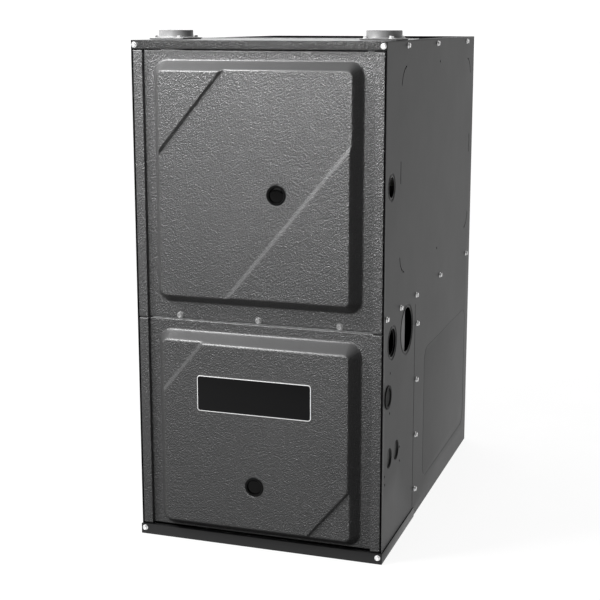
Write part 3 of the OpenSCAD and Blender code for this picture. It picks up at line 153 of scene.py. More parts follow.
def use_group(tree, group, **values):
    """Places a group in a material with its own values, and gives its outputs."""
    node = tree.nodes.new("ShaderNodeGroup")
    node.node_tree = group
    for key, value in values.items():
        node.inputs[key.replace("_", " ")].default_value = value
    return node.outputs


def place(tree, scale=(1, 1, 1), turn=(0, 0, 0)):
    """Object coordinates, stretched and turned, so that a pattern keeps its real size."""
    coords = tree.nodes.new("ShaderNodeTexCoord")
    return add(tree, "Mapping", Vector=coords.outputs["Object"], Scale=scale, Rotation=turn).outputs[0]


# %% [markdown]
# ## Shared effects
#
# *Grain* is the pebbled skin of the door paint: short ridges a few millimetres long that all lean
# the same way, because the sheet was embossed by a roller before it was pressed. *Spangle* is the
# patchwork of zinc crystals on galvanised sheet. *Handling* is the faint unevenness that every
# real surface has, and it is used to vary colour and gloss a little.

# %% Shared effects as node groups
grain, g_in, g_out = group_tree("grain", {"Ridge Scale": 720.0, "Pebble Scale": 1100.0}, ["Height", "Ridge"])
g_turned = place(grain, turn=(0, math.radians(50), 0))
g_long = add(grain, "Mapping", Vector=g_turned, Scale=(0.38, 1.0, 1.0)).outputs[0]
g_bend = add(grain, "TexNoise", Vector=g_turned, Scale=120.0, Detail=1.0)
g_shift = add(grain, "VectorMath", {"operation": "SUBTRACT"}, i0=g_bend.outputs["Color"], i1=(0.5, 0.5, 0.5))
g_small = add(grain, "VectorMath", {"operation": "SCALE"}, i0=g_shift.outputs[0], Scale=0.002)
g_moved = add(grain, "VectorMath", {"operation": "ADD"}, i0=g_long, i1=g_small.outputs[0]).outputs[0]
g_worms = add(grain, "TexNoise", Vector=g_moved, Scale=g_in["Ridge Scale"], Detail=1.5, Roughness=0.45)
g_ridge = add(grain, "MapRange", {"interpolation_type": "SMOOTHSTEP"},
              Value=g_worms.outputs["Fac"], i1=0.36, i2=0.68)
g_pebble = add(grain, "TexNoise", Vector=g_moved, Scale=g_in["Pebble Scale"], Detail=2.0, Roughness=0.55)
g_raw = math_node(grain, "MULTIPLY_ADD", g_pebble.outputs["Fac"], 0.3, g_ridge.outputs[0])
g_facing = add(grain, "SeparateXYZ", i0=grain.nodes.new("ShaderNodeNewGeometry").outputs["True Normal"])
g_up = add(grain, "MapRange", Value=g_facing.outputs["Z"], i1=0.2, i2=0.6, i3=1.0, i4=0.1)
g_high = add(grain, "SeparateXYZ", i0=place(grain)).outputs["Z"]
g_fade = add(grain, "MapRange", Value=g_high, i1=0.35, i2=0.84, i3=1.1, i4=1.35)
g_share = math_node(grain, "MULTIPLY", g_up.outputs[0], g_fade.outputs[0])
grain.links.new(math_node(grain, "MULTIPLY", g_raw, g_share), g_out["Height"])
grain.links.new(g_ridge.outputs[0], g_out["Ridge"])

spangle, s_in, s_out = group_tree("spangle", {"Crystal Scale": 95.0, "Fine Share": 0.25}, ["Shade"])
s_place = place(spangle)
s_cells = add(spangle, "TexVoronoi", {"feature": "F1"}, Vector=s_place, Scale=s_in["Crystal Scale"])
s_grey = add(spangle, "SeparateColor", i0=s_cells.outputs["Color"]).outputs[0]
s_fine = add(spangle, "TexNoise", Vector=s_place, Scale=900.0, Detail=3.0).outputs["Fac"]
spangle.links.new(math_node(spangle, "MULTIPLY_ADD", s_fine, s_in["Fine Share"], s_grey), s_out["Shade"])

handling, h_in, h_out = group_tree("handling", {"Patch Scale": 7.0, "Speck Scale": 1400.0},
                                   ["Patch", "Speck"])
h_place = place(handling)
h_patch = add(handling, "TexNoise", Vector=h_place, Scale=h_in["Patch Scale"], Detail=5.0, Roughness=0.6)
h_speck = add(handling, "TexNoise", Vector=h_place, Scale=h_in["Speck Scale"], Detail=2.0)
handling.links.new(h_patch.outputs["Fac"], h_out["Patch"])
handling.links.new(h_speck.outputs["Fac"], h_out["Speck"])
print("node groups:", [g.name for g in bpy.data.node_groups])

# %% [markdown]
# ## Finishes
#
# One material stands for each slot of the record. `finish` builds the common part: a colour that
# wanders a little, a roughness that wanders with it, and a fine bump. The painted, galvanised and
# moulded finishes differ in the numbers and in which shared effect makes the bump.

# %% Finishes


def finish(name, colour, rough, metal=0.0, vary=0.12, bump=0.05, speck=1.0, coat=0.0, wander=0.15,
           **extra):
    """A procedural material whose colour and gloss vary with the handling group."""
    material = bpy.data.materials.new(name)
    material.use_nodes = True
    tree = material.node_tree
    shader = tree.nodes["Principled BSDF"]
    marks = use_group(tree, handling, Patch_Scale=7.0, Speck_Scale=1400.0)
    low = tuple(c * (1 - vary) for c in colour)
    high = tuple(min(c * (1 + vary), 1) for c in colour)
    tint = ramp(tree, marks["Patch"], (0.3, low), (0.7, high))
    tree.links.new(tint, shader.inputs["Base Color"])
    gloss = add(tree, "MapRange", Value=marks["Patch"], i1=0.3, i2=0.7, i3=rough * (1 - wander),
                i4=min(rough * (1 + wander), 1))
    tree.links.new(gloss.outputs[0], shader.inputs["Roughness"])
    shader.inputs["Metallic"].default_value = metal
    shader.inputs["Coat Weight"].default_value = coat
    shader.inputs["Coat Roughness"].default_value = 0.25
    for key, value in extra.items():
        shader.inputs[key.replace("_", " ")].default_value = value
    height = add(tree, "Bump", Strength=bump, Distance=0.0004 * speck, Height=marks["Speck"])
    tree.links.new(height.outputs[0], shader.inputs["Normal"])
    return material


def shaded(tree, shade):
    """Multiplies a finish's colour by a shade, and gives its shader."""
    shader = tree.nodes["Principled BSDF"]
    plain = shader.inputs["Base Color"].links[0].from_socket
    mixed = add(tree, "Mix", {"data_type": "RGBA", "blend_type": "MULTIPLY"}, i0=1.0, i6=plain, i7=shade)
    tree.links.new(mixed.outputs[2], shader.inputs["Base Color"])
    return shader


def grained_paint(name, colour, rough, strength):
    """Paint over embossed sheet: the grain gives the bump, and it darkens the hollows slightly as painted
    shade.
    """
    material = finish(name, colour, rough, vary=0.04, wander=0.05, Specular_IOR_Level=0.5)
    tree = material.node_tree
    skin = use_group(tree, grain, Ridge_Scale=720.0, Pebble_Scale=1100.0)
    # The ridge mask darkens the grain's hollows by a tenth: painted shade.
    shader = shaded(tree, ramp(tree, skin["Ridge"], (0.0, 0.9), (1.0, 1.0)))
    bump = add(tree, "Bump", Strength=strength, Distance=0.0005, Height=skin["Height"])
    tree.links.new(bump.outputs[0], shader.inputs["Normal"])
    return material


def galvanised(name, colour, rough):
    """Zinc-coated sheet: the crystals differ in shade and in gloss."""
    material = finish(name, colour, rough, metal=1.0, vary=0.04)
    tree = material.node_tree
    zinc = use_group(tree, spangle, Crystal_Scale=95.0, Fine_Share=0.25)
    shader = shaded(tree, ramp(tree, zinc["Shade"], (0.1, 0.8), (1.0, 1.0)))
    gloss = add(tree, "MapRange", Value=zinc["Shade"], i1=0.0, i2=1.2, i3=rough * 1.25, i4=rough * 0.8)
    tree.links.new(gloss.outputs[0], shader.inputs["Roughness"])
    return material


PLAIN = {
    "smooth_paint": ((0.0085, 0.0085, 0.0087), 0.46,
                     dict(vary=0.02, wander=0.03, bump=0.04, Specular_IOR_Level=0.17)),
    "base_black": ((0.012, 0.012, 0.0125), 0.4, dict(vary=0.1, Specular_IOR_Level=0.3)),
    "screw_zinc": ((0.95, 0.95, 0.95), 0.28, dict(metal=0.5, vary=0.04)),
    "screw_dull": ((0.24, 0.24, 0.24), 0.42, dict(metal=0.4, vary=0.05)),
    "black_rubber": ((0.003, 0.003, 0.003), 0.6, dict(bump=0.15, Specular_IOR_Level=0.1)),
    "dark_glass": ((0.001, 0.001, 0.001), 0.12, dict(Specular_IOR_Level=0.1)),
    "badge_black": ((0.003, 0.003, 0.0033), 0.34, dict(Specular_IOR_Level=0.12)),
    "collar_grey": ((0.13, 0.13, 0.131), 0.42, dict(bump=0.08)),
    "bright_shaft": ((0.62, 0.62, 0.63), 0.22, dict(metal=1.0, vary=0.05)),
    "motor_black": ((0.03, 0.03, 0.032), 0.42, dict(bump=0.2)),
    "board_green": ((0.02, 0.12, 0.06), 0.35, dict(coat=0.3)),
    "black_plastic": ((0.02, 0.02, 0.022), 0.45, dict(bump=0.15)),
    "white_plastic": ((0.66, 0.66, 0.61), 0.4, dict()),
    "transformer_steel": ((0.09, 0.09, 0.1), 0.45, dict(metal=0.4)),
    "grey_plastic": ((0.60, 0.60, 0.57), 0.36, dict()),
    "tube_steel": ((0.44, 0.42, 0.39), 0.42, dict(metal=1.0, vary=0.14, bump=0.1)),
    "pipe_black": ((0.025, 0.025, 0.026), 0.5, dict(metal=0.5, bump=0.3)),
    "brass": ((0.66, 0.47, 0.18), 0.26, dict(metal=1.0)),
    "cast_metal": ((0.48, 0.49, 0.50), 0.46, dict(metal=0.9, bump=0.3, speck=2.0)),
    "blue_plastic": ((0.03, 0.08, 0.30), 0.38, dict()),
    "red_plastic": ((0.50, 0.03, 0.02), 0.38, dict()),
    "ceramic": ((0.76, 0.74, 0.68), 0.6, dict(bump=0.1)),
    "fin_metal": ((0.66, 0.67, 0.68), 0.3, dict(metal=1.0)),
}
M = {name: finish(name, colour, rough, **more) for name, (colour, rough, more) in PLAIN.items()}
M["door_paint"] = grained_paint("door_paint", (0.040, 0.040, 0.0404), 0.36, 1.0)
M["rail_paint"] = grained_paint("rail_paint", (0.0062, 0.0062, 0.0063), 0.42, 0.55)
M["bare_steel"] = galvanised("bare_steel", (0.46, 0.465, 0.47), 0.42)
print("finishes:", len(M))

slot_of = {part["node"]: part["material_slot"] for part in record["subparts"]}
for name, node in nodes.items():
    node.data.materials.clear()
    node.data.materials.append(M[slot_of[name]])

# %% [markdown]
# ## Tools for shapes
#
# Most pieces are folded sheet, turned rings or bent wires. `block` gives a box with rounded edges,
# `turned` and `tube` turn an outline round an axis, `swept` carries a round section along a bent
# line, and `folded` bends a strip of sheet. `piece` turns the finished bmesh into an object, marks
# its sharp edges, and lets it ride on its CAD body in place of the CAD nodes that it stands for.
# `build` makes a piece from a list of such shapes, each a tool followed by what it is given.

# %% Shape tools
scene = bpy.context.scene


def piece(name, bm, material, body="casing", stands_for=(), sharp=32, slot=None):
    """An object made of a bmesh; edges that turn by more than sharp degrees stay sharp."""
    mesh = bpy.data.meshes.new(name)
    bmesh.ops.remove_doubles(bm, verts=bm.verts, dist=0.002 * MM)
    bmesh.ops.recalc_face_normals(bm, faces=bm.faces)
    bm.to_mesh(mesh)
    bm.free()
    mesh.polygons.foreach_set("use_smooth", [True] * len(mesh.polygons))
    mesh.set_sharp_from_angle(angle=math.radians(sharp))
    mesh.materials.append(M[material])
    obj = bpy.data.objects.new(name, mesh)
    scene.collection.objects.link(obj)
    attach(obj, body)
    if stands_for:
        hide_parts(*stands_for)
    return obj


def build(name, material, *shapes, **how):
    """A piece made of shapes: each is a tool and what it gets besides the bmesh."""
    bm = bmesh.new()
    for tool, *given in shapes:
        tool(bm, *given)
    return piece(name, bm, material, **how)


def join(bm, rings, loop=True):
    """Lays faces between each ring of points and the next, and between their ends if they loop."""
    for a, b in zip(rings, rings[1:]):
        for i in range(len(a) if loop else len(a) - 1):
            j = (i + 1) % len(a)
            bm.faces.new((a[i], a[j], b[j], b[i]))


def soften(bm, verts, width, segments=1):
    """Rounds all edges of the shape that these vertices belong to."""
    edges = list({e for v in verts for e in v.link_edges})
    bmesh.ops.bevel(bm, geom=edges, offset=width * MM, offset_type="OFFSET", segments=segments, profile=0.5,
                    material=-1, affect="EDGES", clamp_overlap=True)


def thicken(obj, thickness):
    """Gives a single-skin sheet its thickness, measured inwards from the side its normals show."""
    solid = obj.modifiers.new("thickness", "SOLIDIFY")
    solid.thickness = thickness * MM
    solid.offset = -1
    return obj


def block(bm, low, high, bevel=0.4, segments=2, turn=None):
    """A box between two points in millimetres, its edges rounded by bevel."""
    low, high = at(*low), at(*high)
    made = bmesh.ops.create_cube(bm, size=1)["verts"]
    bmesh.ops.scale(bm, vec=high - low, verts=made)
    if turn is not None:
        bmesh.ops.rotate(bm, verts=made, cent=(0, 0, 0), matrix=turn)
    bmesh.ops.translate(bm, vec=(low + high) / 2, verts=made)
    if bevel:
        soften(bm, made, bevel, segments)


AXES = {"x": Matrix(((0, 0, 1), (1, 0, 0), (0, 1, 0))),
        "y": Matrix(((1, 0, 0), (0, 0, 1), (0, -1, 0))),
        "z": Matrix.Identity(3)}


def spun(bm, outline, centre, axis, steps, shape):
    """A ring of points for each (radius, height) pair, round an axis through centre."""
    rings = []
    for radius, height in outline:
        ring = []
        for i in range(steps):
            a = 2 * math.pi * i / steps
            r = radius * (shape(a) if shape else 1)
            local = Vector((r * math.cos(a), r * math.sin(a), height)) * MM
            ring.append(bm.verts.new(AXES[axis] @ local + at(*centre)))
        rings.append(ring)
    return rings


def turned(bm, outline, centre, axis="z", steps=48, shape=None):
    """Turns (radius, height) pairs round an axis through centre and caps both ends. Height counts
    along the axis, and shape(angle) may scale the radius, as it does for a hexagon."""
    rings = spun(bm, outline, centre, axis, steps, shape)
    join(bm, rings)
    for ring in (rings[0], rings[-1]):
        if (ring[0].co - ring[steps // 2].co).length > 0.05 * MM:
            bm.faces.new(ring)


def tube(bm, outline, centre, axis="z", steps=48, shape=None):
    """As turned, but the outline closes on itself, so that the middle stays open."""
    rings = spun(bm, outline, centre, axis, steps, shape)
    join(bm, rings + rings[:1])


def hexagon(a):
    """Distance of a hexagon's edge from its middle, with corners at 1."""
    half, whole = math.radians(30), math.radians(60)
    return math.cos(half) / math.cos((a + half) % whole - half)


def rounded_path(points, radius, steps=6):
    """Replaces each inner corner of a line by an arc of the given radius."""
    points = [Vector(p) for p in points]
    line = [points[0]]
    for before, here, after in zip(points, points[1:], points[2:]):
        u, v = (before - here).normalized(), (after - here).normalized()
        half = u.angle(v) / 2
        room = 0.49 * min((before - here).length, (after - here).length)
        cut = min(radius / math.tan(half), room)
        a, b = here + u * cut, here + v * cut
        for i in range(steps + 1):
            t = i / steps
            line.append(a * (1 - t) ** 2 + here * (2 * t * (1 - t)) + b * t ** 2)
    line.append(points[-1])
    return line


def swept(bm, points, radius, bend=8, steps=12):
    """A round bar along points in millimetres, its corners bent to the radius bend."""
    line = [at(*p) for p in rounded_path(points, bend)]
    rings = []
    normal = None
    for i, here in enumerate(line):
        ahead = (line[min(i + 1, len(line) - 1)] - line[max(i - 1, 0)]).normalized()
        if normal is None:
            normal = ahead.orthogonal().normalized()
        normal = (normal - ahead * normal.dot(ahead)).normalized()
        side = ahead.cross(normal)
        rings.append([bm.verts.new(here + (normal * math.cos(a) + side * math.sin(a)) * radius * MM)
                      for a in (2 * math.pi * k / steps for k in range(steps))])
    join(bm, rings)
    bm.faces.new(rings[0])
    bm.faces.new(rings[-1])


def folded(bm, section, start, end, thickness, radius):
    """Bent sheet: section is a line of (depth, height) points, rounded at its corners, given its
    thickness to the left of the line, and run sideways from start to end."""
    line = rounded_path([(y, z, 0) for y, z in section], radius, 4)
    left = []
    for i, here in enumerate(line):
        ahead = (line[min(i + 1, len(line) - 1)] - line[max(i - 1, 0)]).normalized()
        left.append(here + Vector((-ahead.y, ahead.x, 0)) * thickness)
    loop = line + left[::-1]
    ends = [[bm.verts.new(at(x, p.x, p.y)) for p in loop] for x in (start, end)]
    join(bm, ends)
    for ring in ends:
        join(bm, [ring[:len(line)], ring[:len(line) - 1:-1]], loop=False)


# %% [markdown]
# ## The doors
#
# Each door is one pressed sheet. A grid of points is laid over its face and every point is pushed
# to its depth: first the raised panel, whose sloping edge is measured as the distance from a
# rounded rectangle, then the diagonal steps, where part of the face lies 4.3 mm lower. `soft_max`
# and `soft_min` join the levels with a small radius, as a press does, so that the edges catch
# light instead of being knife-sharp. Along both sides the sheet is folded forward into a proud
# strip and then back, and the outer rim is folded back towards the casing.

# %% Door surfaces
DOOR_X, DOOR_BACK, _ = span("upper_door")[1]
STRIP_X, FACE_X = 202.25, 188.0  # inner edge of the proud strip, and of the pressed face
BORDER, PROUD, STEP = 8.4, 18.9, 4.3  # depth of the border, reach of the panel, drop of a step
PANEL_X, PANEL_R, SLOPE_W = 183.05, 23.0, 16.0  # the panel's half width, corner and slope
FOLD_R, RIM = 1.6, 99.0  # radius of a fold; a rim runs back by RIM, but stops at the door's back
LEAN = math.radians(50.2)


def soft_max(a, b, k):
    """The larger of two depths, blended where they differ by less than k."""
    h = max(k - abs(a - b), 0.0) / k
    return max(a, b) + h * h * k * 0.25


def soft_min(a, b, k):
    """The smaller of two depths, blended in the same way."""
    return -soft_max(-a, -b, k)


def pressed_depth(x, z, low, high, stepped):
    """Depth of the door's face; stepped(u) is 1 where the panel is pressed back."""
    middle, half = (low + high) / 2, (high - low) / 2
    qx, qz = abs(x) - (PANEL_X - PANEL_R), abs(z - middle) - (half - PANEL_R)
    inside = PANEL_R - math.hypot(max(qx, 0), max(qz, 0)) - min(max(qx, qz), 0)
    rise = soft_max(0, inside * (BORDER + PROUD) / SLOPE_W, 3.5)
    u = -math.sin(LEAN) * x + math.cos(LEAN) * (z - middle)
    face = -PROUD + STEP * stepped(u)
    return soft_max(BORDER - rise, face, 3.0)


def band(outside, width):
    """1 inside a step's edge, falling to 0 over the riser's width."""
    return soft_min(soft_max(1 - outside / width, 0, 0.25), 1, 0.25)


def grid_lines(low, high, creases, wide=3.0, fine=1.4):
    """Grid lines from low to high: wide ones on the flat, fine ones within 9 mm of a crease."""
    lines = []
    value = low
    while value < high - 0.3 * wide:
        lines.append(value)
        near = min(abs(value - c) for c in creases)
        value += fine if near < 9 else wide
    return sorted([v for v in lines if min(abs(v - c) for c in creases) > 0.6] + list(creases) + [high])


def pressed_door(name, node, panel, step_lines, stepped, window):
    """A door skin: panel gives its lowest and highest edge, step_lines each step's upper and lower
    edge, stepped the share of the step, window its hole's place and radius."""
    z_low, z_high = span(node)[0][2], span(node)[1][2]
    r = FOLD_R
    arc = [math.radians(22.5 * i) for i in range(5)]
    bends = [(195.0, BORDER)]
    bends += [(STRIP_X - r + r * math.sin(t), BORDER - r + r * math.cos(t)) for t in arc]
    bends += [(STRIP_X + r - r * math.cos(t), r - r * math.sin(t)) for t in arc]
    bends += [((STRIP_X + DOOR_X) / 2, 0)]
    bends += [(DOOR_X - r + r * math.sin(t), r - r * math.cos(t)) for t in arc]
    bends += [(DOOR_X, DOOR_BACK)]
    slopes = [PANEL_X - SLOPE_W, PANEL_X]
    middle = grid_lines(-FACE_X, FACE_X, [-v for v in slopes] + slopes)
    columns = [(-x, y) for x, y in reversed(bends)] + [(x, None) for x in middle] + bends
    bent = [(r - r * math.sin(t), r - r * math.cos(t)) for t in reversed(arc[1:])]
    flat = grid_lines(z_low + r, z_high - r, [panel[0], panel[0] + SLOPE_W, panel[1] - SLOPE_W, panel[1]])
    rows = [(z_low, RIM)] + [(z_low + a, b) for a, b in bent] + [(z, 0.0) for z in flat]
    rows += [(z_high - a, b) for a, b in reversed(bent)] + [(z_high, RIM)]
    bm = bmesh.new()
    bmesh.ops.create_grid(bm, x_segments=len(columns) - 1, y_segments=len(rows) - 1, size=0.5)
    layer = bm.verts.layers.float_vector.new("given")
    for v in bm.verts:
        x, y = columns[round((v.co.x + 0.5) * (len(columns) - 1))]
        z, back = rows[round((v.co.y + 0.5) * (len(rows) - 1))]
        v.co = (x, 0, z)
        v[layer] = (-1 if y is None else y, back, 0)
    across = Vector((-math.sin(LEAN), 0, math.cos(LEAN)))
    centre = Vector((0, 0, (panel[0] + panel[1]) / 2))
    for start, stop in step_lines:
        for share in (-0.15, 0, 0.15, 0.85, 1, 1.15):
            u = start + share * (stop - start)
            inner = [f for f in bm.faces if all(abs(v.co.x) < FACE_X - 1 for v in f.verts)]
            edges = list({e for f in inner for e in f.edges})
            corners = list({v for f in inner for v in f.verts})
            bmesh.ops.bisect_plane(bm, geom=inner + edges + corners, dist=0.02,
                                   plane_co=centre + across * u, plane_no=across)
    wx, wz, wr = window
    for v in bm.verts:
        x, z = v.co.x, v.co.z
        y, back = v[layer][0], v[layer][1]
        if abs(x) < FACE_X + 0.1:
            off = math.hypot(x - wx, z - wz)
            if abs(off - wr) < 1.9:
                x, z = wx + (x - wx) * wr / off, wz + (z - wz) * wr / off
            y = pressed_depth(x, z, panel[0], panel[1], stepped)
        v.co = at(x, min(y + back, DOOR_BACK), z)
    cut = [f for f in bm.faces
           if all(math.hypot(v.co.x / MM - wx, v.co.z / MM - wz) < wr + 0.05 for v in f.verts)]
    bmesh.ops.delete(bm, geom=cut, context="FACES")
    door = piece(name, bm, "door_paint", node, [node], sharp=60)
    if sum(p.normal.y for p in door.data.polygons) > 0:
        door.data.flip_normals()
    return thicken(door, SHEET)


UPPER_WINDOW, LOWER_WINDOW, WINDOW_R = (40.6, 626.0), (0.0, 118.5), 15.75
upper = pressed_door("upper_door_skin", "upper_door", (432.0, 842.8), ((161.2, 165.0), (-81.0, -87.6)),
                     lambda u: min(band(u - 161.2, 3.8), band(-81.0 - u, 6.6)), (*UPPER_WINDOW, WINDOW_R))
lower = pressed_door("lower_door_skin", "lower_door", (25.0, 381.0), ((180.0, 174.0), (-180.0, -176.0)),
                     lambda u: band(180.0 - u, 6.0) if u > 0 else band(180.0 + u, 4.0),
                     (*LOWER_WINDOW, WINDOW_R))
print("door skins:", len(upper.data.polygons), "and", len(lower.data.polygons), "faces")

# %% [markdown]
# ## The side sheets
#
# A side sheet is flat with things pressed or cut into it. Each of those is a `mark`: a closed
# outline that can be drawn larger or smaller, and a list of (how much larger, how deep) rings
# from the flat sheet to its edge or floor. A pressed ring runs round each pipe hole, whose rim is
# rolled inwards. Knockouts are discs pushed in by 3 mm, and the dashes and arcs are slots cut
# through the sheet. The flat part is then filled in between all the outlines. The left sheet is
# the right one mirrored.

# %% Side sheets


# Every outline is a function: outline(grow) gives its (depth, height) points, moved out by grow.
def circle(y, z, r, steps=40):
    """A hole or disc of radius r round (y, z)."""
    return lambda grow: [(y + (r + grow) * math.cos(2 * math.pi * i / steps),
                          z + (r + grow) * math.sin(2 * math.pi * i / steps)) for i in range(steps)]


def rounded_box(y0, z0, y1, z1, r, steps=8):
    """A rectangle between two corners, its own corners rounded by r."""
    def outline(grow):
        points = []
        corners = ((y1 - r, z0 + r, -90), (y1 - r, z1 - r, 0), (y0 + r, z1 - r, 90), (y0 + r, z0 + r, 180))
        for cy, cz, a0 in corners:
            for i in range(steps + 1):
                a = math.radians(a0 + 90 * i / steps)
                points.append((cy + (r + grow) * math.cos(a), cz + (r + grow) * math.sin(a)))
        return points
    return outline


def arc_slot(y, z, radius, start, stop, half, steps=12):
    """A bent slot round (y, z) between two angles in degrees; half is half its width."""
    def outline(grow):
        points = []
        for r, a0, a1 in ((radius + half + grow, start, stop), (radius - half - grow, stop, start)):
            for i in range(steps + 1):
                a = math.radians(a0 + (a1 - a0) * i / steps)
                points.append((y + r * math.cos(a), z + r * math.sin(a)))
        return points
    return outline


# Rings from the flat sheet inwards: how much larger than the mark, and how deep.
DIMPLE = [(9.0, 0), (7.6, 0), (6.9, 0.15), (6.1, 0.85), (5.3, 1.5), (4.7, 1.65), (4.1, 1.5), (3.3, 0.85),
          (2.5, 0.15), (1.7, 0), (0.9, 0.04), (0.35, 0.25), (0.05, 0.8), (0, 1.75)]
CUT = [(1.2, 0), (0.5, 0), (0.2, 0.03), (0, 0.2)]
GROOVE = [(2.4, 0), (1.5, 0), (0.9, 0.05), (0.3, 0.55), (-0.3, 0.55), (-0.9, 0.05), (-1.4, 0)]
DISC = [(2.4, 0), (0.9, 0), (0.4, 0.06), (0.0, 0.5), (-0.4, 2.4), (-0.9, 2.9), (-2.0, 3.0), (-4.0, 3.0)]
# Each mark: its outline, its rings, and whether a floor closes it.
marks = [(circle(158, 375, 39.0, 64), DIMPLE, False), (circle(56.5, 375, 24.0, 48), DIMPLE, False),
         (circle(40, 640, 17.0, 48), DIMPLE, False), (circle(32, 286, 18.5, 48), CUT, False),
         (circle(45, 174.3, 17.5), DISC, True), (circle(93, 174.3, 17.5), DISC, True),
         (rounded_box(300, 50, 676, 305, 26), GROOVE, True),
         (rounded_box(219.6, 22, 220.4, 407, 0.4, 3), [(2.4, 0), (1.5, 0), (0.8, 0.1), (0.2, 0.8)], True)]
for y, z in ((45.3, 324.4), (44.2, 254.5), (116, 172.4), (118, 145.8), (15.8, 151), (17.7, 136),
             (388.5, 482), (388.5, 834)):
    marks.append((circle(y, z, 2.25, 16), CUT, False))
for y, z, start in ((137, 796, 100), (640, 796, 10), (137, 520, 190), (640, 520, 280)):
    marks.append((arc_slot(y, z, 38, start, start + 70, 1.2), CUT, False))
for y in (99, 678):
    marks.append((rounded_box(y - 1.3, 639, y + 1.3, 677, 1.3, 4), CUT, False))


def side_sheet(side, name, node):
    """A side sheet with its marks; side is 1 on the right and -1 on the left."""
    bm = bmesh.new()
    edges = []

    def ring(points, depth):
        return [bm.verts.new(at(depth - HALF_W, y, z)) for y, z in points]

    def closed(verts):
        return [bm.edges.new((a, b)) for a, b in zip(verts, verts[1:] + verts[:1])]

    def frame_ring(inset, depth):
        back, top = CASE_D - inset, CASE_H - inset
        return ring([(inset, SHEET), (back, SHEET), (back, top), (inset, top)], depth)

    edges += closed(frame_ring(3, 0))
    rims = []
    for outline, rings, floor_in in marks:
        made = [ring(outline(grow), depth) for grow, depth in rings]
        edges += closed(made[0])
        rims.append((made, floor_in))
    bmesh.ops.triangle_fill(bm, use_beauty=True, use_dissolve=False, edges=edges, normal=(-1, 0, 0))
    for made, floor_in in rims:
        join(bm, made)
        if floor_in:
            bm.faces.new(made[-1])
    made = [frame_ring(inset, depth) for inset, depth in ((3, 0), (0.5, 0), (0.14, 0.12), (0, 0.5))]
    join(bm, [corners[1:] + corners[:1] for corners in made], loop=False)
    bmesh.ops.scale(bm, vec=(-side, 1, 1), verts=bm.verts)
    skin = piece(name, bm, "smooth_paint", stands_for=[node], sharp=40)
    if side * sum(p.normal.x * p.area for p in skin.data.polygons) < 0:
        skin.data.flip_normals()
    return thicken(skin, SHEET)


for side, word in ((1, "right"), (-1, "left")):
    node = word + "_side_panel"
    skin = side_sheet(side, word + "_side_skin", node)
    folds = []
    for edge, y0, y1, z0, z1 in ((198.25, 12, 13.2, SHEET, 874.8), (203.25, 221.5, 709.7, 875.1, 876.3)):
        x0, x1 = sorted((side * edge, side * (HALF_W - SHEET - 0.02)))
        folds.append((block, (x0, y0, z0), (x1, y1, z1), 0.3))
    build(word + "_side_folds", "smooth_paint", *folds, stands_for=[node])
    print(word, "side:", len(skin.data.polygons), "faces,", len(marks), "marks")

# %% [markdown]
# ## The screws
#
# All visible screws are the same sheet metal screw: a hexagonal head with a hollow in its top,
# on a washer that is part of it. One outline is turned for each place where the CAD model has a
# screw; the hexagon comes from letting the radius follow the distance to six flat sides. Each
# screw stops at its own angle, as real ones do.

# %% Screws
# Radius, height, and whether that ring is hexagonal.
SCREW = [(5.0, 0.0, 0), (5.0, 0.5, 0), (4.75, 0.85, 0), (4.3, 0.98, 0), (4.1, 1.05, 1), (4.1, 3.2, 1),
         (3.75, 3.75, 1), (3.3, 3.9, 0), (2.5, 3.9, 0), (2.1, 3.45, 0), (0.0, 3.35, 0)]


def screw(bm, point, axis, size=1.0, steps=24):
    """A hexagonal washer-head screw whose washer lies on point and whose head looks along axis."""
    spin = random.uniform(0, math.pi / 3)
    aim = Vector((0, 0, 1)).rotation_difference(Vector(axis)).to_matrix()
    rings = []
    for radius, height, six in SCREW:
        ring = []
        for i in range(steps):
            a = 2 * math.pi * i / steps
            r = radius * (hexagon(a) if six else 1) * size
            local = Vector((r * math.cos(a + spin), r * math.sin(a + spin), height * size)) * MM
            ring.append(bm.verts.new(at(*point) + aim @ local))
        rings.append(ring)
    join(bm, rings)


FORWARD, BACKWARD, UP, DOWN = (0, -1, 0), (0, 1, 0), (0, 0, 1), (0, 0, -1)
COLLAR_X, COLLAR_Y = 188.0, 110
casing_spots = []  # each side: top row, middle row, the column below it, rail and base lip
for side in (-1, 1):
    x, out = side * HALF_W, (side, 0, 0)
    casing_spots += [((x, y, CASE_H - 9), out) for y in (138, 364, 635)]
    casing_spots += [((x, y, 423.4), out) for y in (17.4, 112.3, 226.1, 422.1, 673.8)]
    casing_spots += [((x, 236.5, z), out) for z in (51.9, 157.4, 262.9, 368.4)]
    casing_spots += [((side * 216.25, 0, CASE_H - 8), FORWARD), ((side * 216.25, -2.0, 11.7), FORWARD)]
collar_spots = [(side * COLLAR_X + dx, COLLAR_Y + dy, CASE_H + 3.0)
                for side in (-1, 1) for dx in (-22, 22) for dy in (-36, 36)]
door_spots = [(x, BORDER, 407) for x in (-144.5, 0, 144.5)]
build("casing_screw_heads", "screw_zinc", *((screw, *spot) for spot in casing_spots),
      stands_for=["casing_screws"], sharp=28)
build("collar_screw_heads", "screw_zinc", *((screw, point, UP) for point in collar_spots),
      stands_for=["casing_screws"], sharp=28)
build("door_screw_heads", "screw_dull", *((screw, point, FORWARD, 1.2) for point in door_spots),
      body="upper_door", stands_for=["upper_door_screws"], sharp=28, slot="screw_zinc")
print("screws:", len(casing_spots) + len(collar_spots) + len(door_spots))

# %% [markdown]
# ## Rail, base and collars
#
# The rail above the doors carries the same grained paint, but darker, and its lower edge is folded
# back. The base is a black tray: its lip crosses the front below the doors and runs back along
# both sides. The two collars are moulded: a square foot with four screws, a small fillet, and a
# round spigot that a pipe coupling slips over.

